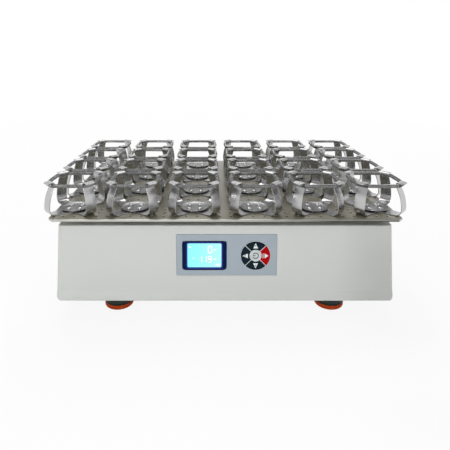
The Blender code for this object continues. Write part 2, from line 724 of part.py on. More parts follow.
def feet(cup_look, pad_look):
    """A metal cup under the base plate at each corner, with a rubber pad under it."""
    reach = FOOT_END_SETBACK + FOOT_RADIUS
    rows = {"front": HOUSING_FRONT + reach, "rear": HOUSING_REAR - reach}
    for row, y in rows.items():
        for side, x in (("left", -FOOT_SIDE), ("right", FOOT_SIDE)):
            top = FOOT_HEIGHT - FIT_GAP
            split = top - FOOT_CUP_HEIGHT
            cup = cylinder(f"foot_cup_{row}_{side}", (x, y), FOOT_RADIUS, split, top, PLAIN_SIDES)
            finish(cup, cup_look)
            edge = arc((FOOT_RADIUS - FOOT_ROUND, FOOT_ROUND), FOOT_ROUND, 0, -pi / 2, BEVEL_STEPS - 1)
            profile = [(0, split - FIT_GAP), (FOOT_RADIUS, split - FIT_GAP), *edge, (0, 0)]
            finish(turned(f"foot_pad_{row}_{side}", (x, y), profile, PLAIN_SIDES), pad_look)


def bearing(name, place, radius, flange_radius, flange, bore, top, sides, look):
    """An upright bearing housing with a round flange on the base plate."""
    seat = BASE_TOP + FIT_GAP
    profile = [
        (bore, top), (radius, top), (radius, seat + flange), (flange_radius, seat + flange),
        (flange_radius, seat), (bore, seat),
    ]
    return finish(turned(name, place, profile, sides), look)


def crank(name, place, shaft_radius, web_radius, web_thickness, pin_radius, sides, look):
    """A shaft, a round web and an eccentric pin that stands towards the front at rest."""
    x, y = place
    web_bottom = WEB_TOP - web_thickness
    made = cylinder(name, place, shaft_radius, SHAFT_BOTTOM, web_bottom + web_thickness / 2, sides)
    web = tool_cylinder(name + "_web", place, web_radius, web_bottom, WEB_TOP, sides)
    pin = tool_cylinder(
        name + "_pin", (x, y - ORBIT_RADIUS), pin_radius, WEB_TOP - web_thickness / 2, CARRIAGE_TOP - FIT_GAP,
        sides,
    )
    join(made, web, pin)
    return finish(made, look)


def counterweight(look):
    """A half disc on the shaft, opposite the pin, that balances the tray."""
    centre = (0, CRANK_Y)
    heavy = arc(centre, WEIGHT_RADIUS, 0, pi, FINE_SIDES)
    hub = arc(centre, WEIGHT_HUB_RADIUS, pi, 2 * pi, FINE_SIDES // 2)
    bore = circle(centre, clear_radius(SHAFT_RADIUS, FIT_GAP, FINE_SIDES), FINE_SIDES)
    return finish(plate("counterweight", [heavy + hub, bore], WEIGHT_BOTTOM, WEIGHT_TOP), look)


def pulley_profile(radius):
    """The outer side of a pulley: a flange, the belt's land and a flange."""
    rim = radius + PULLEY_FLANGE
    land_top = PULLEY_TOP - PULLEY_FLANGE_SHEET
    land_bottom = PULLEY_BOTTOM + PULLEY_FLANGE_SHEET
    return [
        (rim, PULLEY_TOP), (rim, land_top), (radius, land_top),
        (radius, land_bottom), (rim, land_bottom), (rim, PULLEY_BOTTOM),
    ]


def drive_pulley(look):
    bore = clear_radius(SHAFT_RADIUS, FIT_GAP, FINE_SIDES)
    profile = [(bore, PULLEY_TOP), *pulley_profile(DRIVE_PULLEY_RADIUS), (bore, PULLEY_BOTTOM)]
    return finish(turned("drive_pulley", (0, CRANK_Y), profile), look)


def motor_place():
    return (-MOTOR_DISTANCE, CRANK_Y)


def motor_pulley(look):
    """The small pulley with the motor's output shaft, which turns in the motor's neck."""
    foot = PULLEY_BOTTOM - MOTOR_SHAFT_GRIP
    profile = [
        (0, PULLEY_TOP), *pulley_profile(MOTOR_PULLEY_RADIUS), (MOTOR_SHAFT_RADIUS, PULLEY_BOTTOM),
        (MOTOR_SHAFT_RADIUS, foot), (0, foot),
    ]
    return finish(turned("motor_pulley", motor_place(), profile), look)


def drive_motor(look):
    """A flat motor on the base plate, with a neck that carries its shaft up to the pulley."""
    seat = BASE_TOP + FIT_GAP
    neck_top = PULLEY_BOTTOM - STACK_GAP / 2
    made = cylinder("drive_motor", motor_place(), MOTOR_RADIUS, seat, seat + MOTOR_HEIGHT)
    neck = tool_cylinder("motor_neck", motor_place(), MOTOR_NECK_RADIUS, seat + MOTOR_HEIGHT / 2, neck_top)
    bore_radius = clear_radius(MOTOR_SHAFT_RADIUS, RUN_GAP, FINE_SIDES)
    bore_floor = PULLEY_BOTTOM - MOTOR_SHAFT_GRIP - STACK_GAP
    bore = tool_cylinder("motor_bore", motor_place(), bore_radius, bore_floor, neck_top + CUT_OVERRUN)
    join(made, neck)
    cut(made, bore)
    return finish(made, look)


def belt_loop(extra):
    """The line round both pulleys, further out by extra than a running gap from their lands."""
    lean = acos(-(DRIVE_PULLEY_RADIUS - MOTOR_PULLEY_RADIUS) / MOTOR_DISTANCE)
    wide = clear_radius(DRIVE_PULLEY_RADIUS, FIT_GAP, FINE_SIDES, 2 * lean) + extra
    narrow = clear_radius(MOTOR_PULLEY_RADIUS, FIT_GAP, PLAIN_SIDES, 2 * (pi - lean)) + extra
    return (
        arc((0, CRANK_Y), wide, -lean, lean, FINE_SIDES)
        + arc(motor_place(), narrow, lean, 2 * pi - lean, PLAIN_SIDES)
    )


def drive_belt(look):
    bottom = PULLEY_BOTTOM + PULLEY_FLANGE_SHEET + FIT_GAP
    outlines = [belt_loop(BELT_SHEET), belt_loop(0)]
    return finish(plate("drive_belt", outlines, bottom, bottom + BELT_WIDTH), look)


def power_inlet(look):
    """The mains inlet at the back, with a pocket for its rocker switch above the socket."""
    centre = FOOT_HEIGHT + INLET_RISE
    face = HOUSING_REAR + INLET_PROUD
    made = box(
        "power_inlet",
        (INLET_SIDE - INLET_WIDTH / 2, face - INLET_DEPTH, centre - INLET_HEIGHT / 2),
        (INLET_SIDE + INLET_WIDTH / 2, face - INLET_PROUD / 2, centre + INLET_HEIGHT / 2),
    )
    lip_side = INLET_WIDTH / 2 + INLET_LIP
    lip_end = INLET_HEIGHT / 2 + INLET_LIP
    lip = tool_box(
        "inlet_lip",
        (INLET_SIDE - lip_side, HOUSING_REAR + FIT_GAP, centre - lip_end),
        (INLET_SIDE + lip_side, face, centre + lip_end),
    )
    socket = centre - INLET_SOCKET_DROP
    hollow = tool_box(
        "socket_hollow",
        (INLET_SIDE - SOCKET_WIDTH / 2, face - SOCKET_DEPTH, socket - SOCKET_HEIGHT / 2),
        (INLET_SIDE + SOCKET_WIDTH / 2, face + CUT_OVERRUN, socket + SOCKET_HEIGHT / 2),
    )
    axis = rocker_axis()
    side = ROCKER_WIDTH / 2 + ROCKER_SIDE_GAP
    end = ROCKER_HEIGHT / 2 + ROCKER_CLEARANCE
    depth = ROCKER_DEPTH / 2 + ROCKER_CLEARANCE
    pocket = tool_box(
        "rocker_pocket",
        (axis.x - side, axis.y - depth, axis.z - end),
        (axis.x + side, face + CUT_OVERRUN, axis.z + end),
    )
    join(made, lip)
    cut(made, hollow, pocket)
    return finish(made, look)


def rocker_axis():
    y = HOUSING_REAR + INLET_PROUD - ROCKER_DEPTH / 2 - ROCKER_CLEARANCE
    return Vector((INLET_SIDE, y, FOOT_HEIGHT + INLET_RISE + INLET_ROCKER_RISE))


def rocker_switch(look):
    """The rocker, tilted to its off side."""
    axis = rocker_axis()
    back = -ROCKER_DEPTH / 2
    face = ROCKER_DEPTH / 2
    top = ROCKER_HEIGHT / 2
    corners = [(back, -top), (face, -top), (face - ROCKER_DIP, 0), (face, top), (back, top)]
    tilt = Matrix.Rotation(ROCKER_TILT, 2)
    outline = [tuple(tilt @ Vector(corner) + axis.yz) for corner in corners]
    left = INLET_SIDE - ROCKER_WIDTH / 2
    return finish(side_plate("rocker_switch", [outline], left, left + ROCKER_WIDTH), look)


def power_supply(look):
    """A boxed supply on the base plate, with ears at its foot."""
    right = HOUSING_WIDTH / 2 - SUPPLY_SETBACK
    rear = HOUSING_REAR - SUPPLY_SETBACK
    seat = BASE_TOP + FIT_GAP
    low = (right - SUPPLY_WIDTH, rear - SUPPLY_DEPTH, seat)
    made = box("power_supply", low, (right, rear, seat + SUPPLY_HEIGHT))
    middle = right - SUPPLY_WIDTH / 2
    ears = tool_box(
        "supply_ears",
        (middle - SUPPLY_EAR, rear - SUPPLY_DEPTH - SUPPLY_EAR, seat + FIT_GAP),
        (middle + SUPPLY_EAR, rear + SUPPLY_EAR, seat + SUPPLY_EAR_SHEET),
    )
    join(made, ears)
    return finish(made, look)


def build():
    clear_scene()
    steel = material("bright_steel", (0.62, 0.62, 0.63), 0.28, 1)
    tray_grey = material("tray_grey", (0.20, 0.19, 0.16), 0.5, 0.2)
    paint = material("housing_paint", (0.60, 0.60, 0.58), 0.45, 0)
    fascia = material("panel_grey", (0.36, 0.41, 0.45), 0.5, 0)
    screen = material("display_screen", (0.35, 0.95, 0.98), 0.2, 0)
    dark_key = material("key_navy", (0.02, 0.04, 0.06), 0.5, 0)
    red_key = material("key_red", (0.55, 0.02, 0.04), 0.5, 0)
    silver_key = material("key_silver", (0.60, 0.62, 0.62), 0.4, 0.2)
    board_green = material("board_green", (0.03, 0.16, 0.07), 0.5, 0)
    cup_black = material("cup_black", (0.03, 0.03, 0.03), 0.3, 0.8)
    orange = material("pad_orange", (0.45, 0.07, 0.01), 0.7, 0)
    cast = material("cast_aluminium", (0.50, 0.50, 0.51), 0.5, 1)
    dark_steel = material("dark_steel", (0.18, 0.18, 0.19), 0.4, 1)
    belt_rubber = material("belt_rubber", (0.02, 0.02, 0.02), 0.8, 0)
    black_plastic = material("black_plastic", (0.02, 0.02, 0.02), 0.4, 0)

    base_plate(dark_steel)
    housing_shell(paint)
    front_panel(fascia)
    display(screen)
    keypad(dark_key, red_key, silver_key)
    control_board(board_green)
    feet(cup_black, orange)
    power_inlet(black_plastic)
    power_supply(cast)
    drive_motor(dark_steel)
    drive_belt(belt_rubber)

    main = (0, CRANK_Y)
    main_bore = clear_radius(SHAFT_RADIUS, RUN_GAP, FINE_SIDES)
    bearing(
        "main_bearing", main, BEARING_RADIUS, BEARING_FLANGE_RADIUS, BEARING_FLANGE, main_bore, BEARING_TOP,
        FINE_SIDES, cast,
    )
    crank_axis = axis_empty("crank_axis", (*main, WEB_TOP))
    shaft = crank(
        "crank_shaft", main, SHAFT_RADIUS, WEB_RADIUS, WEB_THICKNESS, PIN_RADIUS, FINE_SIDES, steel,
    )
    for turning in (shaft, counterweight(dark_steel), drive_pulley(cast)):
        hang_on(turning, crank_axis)

    motor_axis = axis_empty("motor_axis", (*motor_place(), PULLEY_TOP))
    hang_on(motor_pulley(cast), motor_axis)

    idler_bore = clear_radius(IDLER_SHAFT_RADIUS, RUN_GAP, PLAIN_SIDES)
    idler_bearing_top = WEB_TOP - IDLER_WEB_THICKNESS - STACK_GAP / 2
    for name, place in idler_places().items():
        bearing(
            f"idler_bearing_{name}", place, IDLER_BEARING_RADIUS, IDLER_FLANGE_RADIUS, IDLER_FLANGE,
            idler_bore, idler_bearing_top, PLAIN_SIDES, cast,
        )
        idler = crank(
            f"idler_crank_{name}", place, IDLER_SHAFT_RADIUS, IDLER_WEB_RADIUS, IDLER_WEB_THICKNESS,
            IDLER_PIN_RADIUS, PLAIN_SIDES, steel,
        )
        hang_on(idler, axis_empty(f"idler_axis_{name}", (*place, WEB_TOP)))

    platform_axis = axis_empty("platform_axis", (0, PLATFORM_Y, CARRIAGE_TOP))
    for carried in (carriage_plate(cast), tray(tray_grey), *flask_clamps(steel)):
        hang_on(carried, platform_axis)

    hang_on(rocker_switch(black_plastic), axis_empty("rocker_axis", rocker_axis()))


build()
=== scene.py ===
"""The looks of a benchtop orbital shaker with 24 sprung flask clamps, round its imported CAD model."""
import json
from math import asin, atan, cos, pi, radians, sin, tan

import bmesh
import bpy
import numpy as np
from mathutils import Matrix, Vector
from mathutils.geometry import tessellate_polygon

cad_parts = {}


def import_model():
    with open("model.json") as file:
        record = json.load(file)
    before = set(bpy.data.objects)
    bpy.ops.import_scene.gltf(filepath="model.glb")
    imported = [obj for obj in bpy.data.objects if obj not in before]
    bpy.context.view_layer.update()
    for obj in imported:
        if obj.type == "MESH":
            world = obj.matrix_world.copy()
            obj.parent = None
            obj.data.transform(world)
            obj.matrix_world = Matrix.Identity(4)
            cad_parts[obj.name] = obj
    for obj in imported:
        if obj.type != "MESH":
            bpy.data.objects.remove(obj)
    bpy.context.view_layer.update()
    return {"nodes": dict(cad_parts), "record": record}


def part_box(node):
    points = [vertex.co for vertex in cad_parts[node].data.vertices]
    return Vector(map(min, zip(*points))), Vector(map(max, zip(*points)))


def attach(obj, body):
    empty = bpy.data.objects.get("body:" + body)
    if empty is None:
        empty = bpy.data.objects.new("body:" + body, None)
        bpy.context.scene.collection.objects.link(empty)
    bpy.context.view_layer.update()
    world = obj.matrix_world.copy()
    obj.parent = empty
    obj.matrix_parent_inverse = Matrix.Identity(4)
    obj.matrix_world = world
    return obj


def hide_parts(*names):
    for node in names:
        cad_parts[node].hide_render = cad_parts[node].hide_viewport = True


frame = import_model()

# Camera, fitted to the photograph's tray, housing and panel
CAMERA_PLACE = (-0.0252, -0.7959, 0.3971)
CAMERA_PITCH = radians(6)
FOCAL_LENGTH = 35.19
SENSOR_WIDTH = 36.0
CAMERA_SHIFT = (0.0371, -0.2772)

# Light
SKY_LIGHT = 0.36
SKY_SHINES = (1.0, 0.42)
SKY_SHINE_RISES = (0.2, 0.55)
FLOOR_SIDE = 8.0
FLOOR_GLOWS = (0.88, 0.995)
FLOOR_GLOW_REACH = (0.45, 2.2)
LAMPS = {
    "lamp_left": ((-0.5, -2.6, 1.4), 1.0, 30.0),
    "lamp_right": ((1.8, -1.6, 1.4), 0.9, 8.0),
    "lamp_top": ((-0.3, 1.2, 2.4), 2.0, 42.0),
}
FLAG_GREY = (0.05, 0.05, 0.05)
FLAGS = {
    "flag_front": ((-0.7, -2.4, 0.5), (1.5, -2.4, 0.5), (1.5, -2.4, 1.9), (-0.7, -2.4, 1.9)),
    "flag_floor": ((-0.1, -1.4, 0.002), (1.4, -1.4, 0.002), (1.4, -0.25, 0.002), (0.2, -0.25, 0.002)),
}
NET = ((0.158, -0.3, 0.05), (0.6, -0.3, 0.05), (0.6, -0.3, 0.215), (0.158, -0.3, 0.215))
NET_DENSITY = 0.52
LAMP_TARGET = Vector((0, 0, 0.12))

# Materials
CLOUD_DETAIL = 4
CLOUD_RANGE = (0.3, 0.7)
GRAIN_DETAIL = 3
MIX_COLOUR_INPUTS = (6, 7)
MIX_COLOUR_OUTPUT = 2
SCREEN_COLOURS = ((0.28, 0.97, 1.0), (0.5, 0.98, 1.0))

# Mesh work
WELD = 0.000001
SMOOTH_ANGLE = radians(32)
ROUND_SIDES = 48
SCREW_SIDES = 24
CORNER_STEPS = 6
BEND_STEPS = 6
BEND_MOST_SHARE = 0.7
INSET_LEAST_SHARE = 0.5
SOFT_SHARE = 0.3
CUT_OVERRUN = 0.004
CORNERS = ((1, 1), (-1, 1), (-1, -1), (1, -1))
OPEN = (False, False)

# Screws: a size is a radius and a height, and the shares are of both
SCREW_HEAD_SHARES = ((1, 0), (1, 0.3), (0.95, 0.55), (0.82, 0.8), (0.66, 0.95), (0.55, 1))
SCREW_SOCKET_SHARES = ((0.5, 1), (0.46, 0.4))

# Tray
HOLE_COLUMNS = 30
HOLE_ROWS = 23
HOLE_COLUMN_PITCH = 0.0166
HOLE_ROW_PITCH = 0.0148
HOLE_RADIUS = 0.0021
HOLE_MOUTH = 0.0027
HOLE_SINK = 0.0006
HOLE_QUARTER = 4
TRAY_SHEET = 0.002
TRAY_CLIP = 0.0078
TRAY_EDGE = 0.0005
RIM_LIFT = 0.0008
BOLT_SIZE = (0.0065, 0.006)
BOLT_SIDE_SHARE = 0.3273
BOLT_END_SHARE = 0.2112

# Flask clamp
ARM_SHEET = 0.0012
ARM_SOFT_SHARE = 0.22
ARM_HALF_WIDTHS = (0.0088, 0.0078)
ARM_TIP_CORNER = 0.004
ARM_COUNT = 4
ARM_POINTS = (
    (0.0120, 0.0006), (0.0466, 0.0006), (0.0460, 0.0170), (0.0438, 0.0290), (0.0372, 0.0440),
    (0.0366, 0.0496), (0.0410, 0.0498), (0.0479, 0.0488),
)
ARM_BENDS = (0.0115, 0.075, 0.043, 0.0155, 0.0018, 0.006)
ARM_FLARE = 0.0055
ARM_FLARE_REACH = 0.034
DISH_PROFILE = (
    (0.0, 0.0022), (0.0135, 0.0022), (0.0165, 0.0024), (0.0190, 0.0030), (0.0208, 0.0037),
    (0.0216, 0.0037), (0.0218, 0.0031), (0.0204, 0.0021), (0.0182, 0.0013), (0.0160, 0.0012), (0.0, 0.0012),
)
SPRING_RADIUS = 0.0030
SPRING_WIRE = 0.0013
SPRING_PITCH = 0.0016
SPRING_HEIGHT = 0.0460
SPRING_REACH = 0.0407
SPRING_HALF_SIDE = 0.008
SPRING_BOW = 0.0012
SPRING_BEND = 0.009
WIRE_STEPS = 10
WIRE_SIDES = 5
CLAMP_SCREW_PLACE = 0.0083
CLAMP_SCREW_SIZE = (0.0036, 0.0026)

# Housing
HOUSING_WALL = 0.002
HOUSING_DRAFT = radians(3)
HOUSING_ROLL = 0.007
FRONT_ROLL = 0.0016
HOUSING_TOP_ROUND = 0.0016
CREASE_RISE = 0.0150
CREASE_BLEND = 0.0006
BAND_FLARE = 0.0026
PANEL_SIZE = (0.151, 0.0645)
PANEL_MIDDLE = (0.0025, 0.09595)
PANEL_CORNER = 0.0012
PANEL_CHAMFER = 0.0010
CRANK_PLACE = (0.0, 0.0079)
IDLER_PLACES = ((-0.1894, -0.0966), (0.1894, -0.0966), (0.0, 0.1324))
CRANK_OPENING = 0.021
IDLER_OPENING = 0.018
SLOT_SIZE = (0.003, 0.030)
SLOT_CORNER = 0.00147
SLOT_PITCH = 0.009
SLOT_COUNT = 8
SLOT_PLACE = (0.1114, 0.0742)
INLET_GAP = 0.0003
HOUSING_SCREW_SIZE = (0.003, 0.0018)
REAR_SCREW_SHARES = (-0.8, 0, 0.8)
SIDE_SCREW_SHARE = 0.6
BASE_SCREW_SIDE_SHARES = (-0.92, -0.4, 0.4, 0.92)
BASE_SCREW_END_SHARES = (-0.85, 0.85)

# Control panel
FASCIA_GAP = 0.0003
FASCIA_EDGE = 0.0003
BEZEL_SIZE = (0.0672, 0.0459)
BEZEL_CORNER = 0.0065
BEZEL_LIFT = 0.00003
BEZEL_PROUD = 0.0005
BEZEL_EDGE = 0.0004
SCREEN_SIZE = (0.0512, 0.0375)
SCREEN_CORNER = 0.0020
SCREEN_SLOPE = 0.0020
SCREEN_SINK = 0.0004
KEYPAD_RADIUS = 0.0227
KEY_OUTER = 0.0223
KEY_INNER = 0.0093
KEY_CENTRE = 0.0083
KEY_GAP = 0.0011
KEY_EDGE = 0.0005
GRID_SHEET = 0.0008
GRID_SPACE = 0.00015
GRID_PROUD = 0.0004
SIGN_RAISE = 0.00012
SIGN_PLACE = 0.0157
SIGN_SIDE = 0.0037
SIGN_LENGTH = 0.0082
PIP_RADIUS = 0.000888
PIP_RAISE = 0.000192
START_PLACES = (0.0110, 0.0128, 0.0166)
START_BAR = 0.00074
START_SHARE = 0.62
POWER_RIM_SHARE = 0.90
POWER_DIP = 0.00025
POWER_RING_SHARE = 0.58
POWER_OPENING = radians(32)
POWER_STROKE_SHARE = 0.15
POWER_STEM_SHARES = (0.8, 1.1)
POWER_STEM_PLACE_SHARE = 0.45

# Characters on the display: ends of the segments in half widths, then segments, place and height of each
DIGIT_RAISE = 0.00012
STROKE_SHARE = 0.15
POINT_SHARES = (0.3, 1.2)
SEGMENT_LINES = {
    "a": ((-1, 2), (1, 2)), "b": ((1, 2), (1, 0)), "c": ((1, 0), (1, -2)), "d": ((-1, -2), (1, -2)),
    "e": ((-1, 0), (-1, -2)), "f": ((-1, 2), (-1, 0)), "g": ((-1, 0), (1, 0)),
}
READINGS = (
    ("abcdef", (0.0083, 0.0086), 0.0113), ("g", (0.0157, 0.0084), 0.0120),
    ("bc", (-0.0064, -0.0065), 0.0100), ("bc", (0.0004, -0.0065), 0.0100),
    ("abcdfg", (0.0082, -0.0065), 0.0100), ("g", (0.0156, -0.0065), 0.0120),
    ("g", (-0.0220, 0.0127), 0.0105), ("d", (-0.0168, -0.0008), 0.0085), ("g", (0.0202, -0.0150), 0.0170),
)

# Feet: the cup's lower steps in lips inwards and grooves upwards
FOOT_LIP = 0.0006
FOOT_GROOVE = 0.0010
CUP_STEP_SHARES = ((1, 0), (0, 0.6), (0, 1.6), (1, 1.9), (1, 2.6), (0.4, 3))
PAD_ROUND = 0.0034
PAD_HOLLOW_SHARES = (0.55, 0.6)

# Mains inlet and rocker
INLET_LIP = Vector((0.004, 0, 0.004))
INLET_BACK_SHARE = 0.9
SOCKET_SIZE = (0.0245, 0.0170)
SOCKET_DROP = 0.0115
SOCKET_DEPTH = 0.016
SOCKET_CORNER = 0.0045
PIN_SIZE = (0.002, 0.004)
PIN_LENGTH = 0.012
PIN_PLACES = ((-0.007, -0.0015), (0.007, -0.0015), (0, 0.0025))
ROCKER_TILT = radians(7)
ROCKER_DEPTH = 0.006
ROCKER_TALL = 0.0116
ROCKER_DIP = 0.001
ROCKER_STEPS = 8
MARK_SHARE = 0.24
MARK_BAR_SHARE = 0.22
MARK_RING_SHARES = (0.55, 0.36)


class Shape:
    """Points and faces of one piece, gathered before its mesh is made."""

    def __init__(self):
        self.points = []
        self.faces = []
        self.looks = []

    def add(self, points, faces, look=0, place=None):
        start = len(self.points)
        self.points += [tuple(place @ Vector(point)) for point in points] if place else list(points)
        self.faces += [tuple(start + i for i in face) for face in faces]
        self.looks += [look] * len(faces)

    def loft(self, rings, look=0, place=None, caps=(True, True)):
        """Walls from ring to ring: closed lists of points, all of one length."""
        count = len(rings[0])
        last = (len(rings) - 1) * count
        faces = []
        for near in range(0, last, count):
            far = near + count
            for i in range(count):
                after = (i + 1) % count
                faces.append((near + i, near + after, far + after, far + i))
        if caps[0]:
            faces.append(tuple(range(count))[::-1])
        if caps[1]:
            faces.append(tuple(range(last, last + count)))
        self.add([point for ring in rings for point in ring], faces, look, place)

    def banded(self, rings, looks, place=None):
        """Open walls from ring to ring, each with a look of its own."""
        for look, near, far in zip(looks, rings, rings[1:]):
            self.loft([near, far], look, place, OPEN)

    def turned(self, profile, look=0):
        """A turned solid from the radius and height of the points of its half outline."""
        rings = [level(circle(radius), height) for radius, height in profile]
        self.loft(rings, look, None, (profile[0][0] > 0, profile[-1][0] > 0))

    def plate(self, outlines, low, high, edge=0.0, look=0, place=None):
        """A plate with chamfered edges. Its outline runs anticlockwise, and those of its holes clockwise."""
        rims = [inset(outline, edge) if edge else outline for outline in outlines]
        for outline, rim in zip(outlines, rims):
            rings = [level(rim, low), level(rim, high)]
            if edge:
                rings[1:1] = [level(outline, low + edge), level(outline, high - edge)]
            self.loft(rings, look, place, OPEN)
        for height in (low, high):
            self.fill(rims, height, look, place)

    def fill(self, rims, height, look=0, place=None):
        """A flat face within the first rim and outside the others."""
        flat = [[Vector((x, y, 0)) for x, y in rim] for rim in rims]
        corners = [point for rim in rims for point in rim]
        self.add(level(corners, height), tessellate_polygon(flat), look, place)


def level(outline, height):
    return [(x, y, height) for x, y in outline]


def arc(radius, start, end, steps, centre=(0.0, 0.0)):
    turns = [start + (end - start) * i / steps for i in range(steps + 1)]
    return [(centre[0] + radius * cos(turn), centre[1] + radius * sin(turn)) for turn in turns]


def circle(radius, sides=ROUND_SIDES, centre=(0.0, 0.0)):
    return arc(radius, 0, 2 * pi, sides, centre)[:-1]


def hexagon(radius):
    """A hexagon with as many points as a screw's circles, which it is lofted to."""
    points = []
    for i in range(SCREW_SIDES):
        turn = 2 * pi * i / SCREW_SIDES
        reach = radius * cos(pi / 6) / cos(turn % (pi / 3) - pi / 6)
        points.append((reach * cos(turn), reach * sin(turn)))
    return points


def bar(width, height, x=0.0):
    half = height / 2
    return [(x - width / 2, -half), (x + width / 2, -half), (x + width / 2, half), (x - width / 2, half)]


def grown(size, gap):
    return size[0] + 2 * gap, size[1] + 2 * gap


def rounded_rectangle(size, corner, centre=(0.0, 0.0), steps=CORNER_STEPS):
    points = []
    for i, (x, y) in enumerate(CORNERS):
        middle = (centre[0] + x * (size[0] / 2 - corner), centre[1] + y * (size[1] / 2 - corner))
        points += arc(corner, i * pi / 2, (i + 1) * pi / 2, steps, middle)
    return points


def inset(outline, distance):
    """The outline moved to its left, which is inwards for one that runs anticlockwise."""
    moved = []
    for i, here in enumerate(outline):
        before = (Vector(here) - Vector(outline[i - 1])).normalized()
        after = (Vector(outline[(i + 1) % len(outline)]) - Vector(here)).normalized()
        along = (before + after).normalized()
        reach = distance / max(along.dot(after), INSET_LEAST_SHARE)
        moved.append((here[0] - along.y * reach, here[1] + along.x * reach))
    return moved


def rounded_path(points, radii):
    """The line through the points, with a curve of about the given radius at each inner one."""
    path = [Vector(points[0])]
    for here, before, after, radius in zip(points[1:], points, points[2:], radii):
        here = Vector(here)
        into = here - Vector(before)
        out = Vector(after) - here
        most = min(into.length, out.length) * BEND_MOST_SHARE
        reach = min(radius * tan(into.angle(out) / 2), most)
        start = here - into.normalized() * reach
        end = here + out.normalized() * reach
        for i in range(BEND_STEPS + 1):
            share = i / BEND_STEPS
            path.append(start.lerp(here, share).lerp(here.lerp(end, share), share))
    path.append(Vector(points[-1]))
    return path


FRONT = Matrix.Rotation(pi / 2, 4, "X")
REAR = Matrix.Rotation(pi, 4, "Z") @ FRONT


def facing(x, y, z, way=FRONT):
    """The matrix that stands flat shapes up at this place, towards the front or another way."""
    return Matrix.Translation((x, y, z)) @ way


def mesh_of(name, shape, looks, cutter=None):
    """The shape as a clean closed mesh, with the cutter's solids taken out of it."""
    mesh = bpy.data.meshes.new(name)
    mesh.from_pydata(shape.points, [], shape.faces)
    mesh.polygons.foreach_set("material_index", shape.looks)
    work = bmesh.new()
    work.from_mesh(mesh)
    bmesh.ops.remove_doubles(work, verts=work.verts, dist=WELD)
    bmesh.ops.recalc_face_normals(work, faces=work.faces)
    work.to_mesh(mesh)
    work.free()
    for look in looks:
        mesh.materials.append(look_of(look))
    if cutter:
        mesh = carved(mesh, mesh_of(name + "_cutter", cutter, looks[:1]))
    mesh.polygons.foreach_set("use_smooth", [True] * len(mesh.polygons))
    mesh.set_sharp_from_angle(angle=SMOOTH_ANGLE)
    return mesh


def linked(name, data):
    """A new object of the scene, with this mesh, lamp or camera."""
    thing = bpy.data.objects.new(name, data)
    bpy.context.scene.collection.objects.link(thing)
    return thing


def carved(mesh, cutter):
    block = linked(mesh.name, mesh)
    tool = linked(cutter.name, cutter)
    cut = block.modifiers.new("cut", "BOOLEAN")
    cut.operation = "DIFFERENCE"
    cut.solver = "EXACT"
    cut.object = tool
    graph = bpy.context.evaluated_depsgraph_get()
    result = bpy.data.meshes.new_from_object(block.evaluated_get(graph))
    bpy.data.objects.remove(block)
    bpy.data.objects.remove(tool)
    return result


def put(name, mesh, body, place=Matrix.Identity(4), replaced=()):
    """A piece with this mesh, on a CAD body."""
    piece = linked(name, mesh)
    piece.matrix_world = place
    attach(piece, body)
    if replaced:
        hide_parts(*replaced)


def add_piece(name, shape, looks, body, place=Matrix.Identity(4), replaced=(), cutter=None):
    put(name, mesh_of(name, shape, looks, cutter), body, place, replaced)


def body_of(node):
    bodies = frame["record"]["behaviour"]["bodies"]
    return next(body for body, nodes in bodies.items() if node in nodes)


def nodes_named(start):
    return [name for name in sorted(frame["nodes"]) if name.startswith(start)]


def stand(node):
    """The matrix that stands a shape in the middle of a node's underside."""
    low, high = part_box(node)
    return Matrix.Translation((*((low + high) / 2).xy, low.z))


def front_view(low, high):
    """The middle and the size of a box, as seen from the front."""
    return ((low.x + high.x) / 2, (low.z + high.z) / 2), (high.x - low.x, high.z - low.z)


# Materials


def srgb(red, green, blue):
    """A colour written in the photograph's 0 to 255 steps, as linear light."""
    shares = [step / 255 for step in (red, green, blue)]
    return tuple(s / 12.92 if s <= 0.04045 else ((s + 0.055) / 1.055) ** 2.4 for s in shares)


def feed(tree, node, inputs):
    """Sets a node's inputs, by name or number: each to a value, or to the output of another node."""
    for name, value in inputs.items():
        if isinstance(value, bpy.types.NodeSocket):
            tree.links.new(value, node.inputs[name])
        else:
            node.inputs[name].default_value = value


def add_node(tree, kind, inputs, setting=None, choice=None):
    """A shader node of a kind, with one of its settings chosen, and its inputs fed."""
    node = tree.nodes.new("ShaderNode" + kind)
    if setting:
        setattr(node, setting, choice)
    feed(tree, node, inputs)
    return node


def worked_out(tree, operation, first, second):
    return add_node(tree, "Math", {0: first, 1: second}, "operation", operation).outputs["Value"]


def ranged(tree, value, before, after):
    """The value carried over from one range to another."""
    ends = {"From Min": before[0], "From Max": before[1], "To Min": after[0], "To Max": after[1]}
    return add_node(tree, "MapRange", {"Value": value, **ends}).outputs["Result"]


def tinted(tree, share, start, end):
    """The colour at a share of the way from start to end."""
    first, second = MIX_COLOUR_INPUTS
    inputs = {0: share, first: (*start, 1), second: (*end, 1)}
    return add_node(tree, "Mix", inputs, "data_type", "RGBA").outputs[MIX_COLOUR_OUTPUT]


def seen_by(tree, *rays):
    """1 where one of the named kinds of ray looks, and 0 elsewhere."""
    path = add_node(tree, "LightPath", {})
    outputs = [path.outputs[f"Is {ray} Ray"] for ray in rays]
    seen = outputs[0]
    for output in outputs[1:]:
        seen = worked_out(tree, "MAXIMUM", seen, output)
    return seen


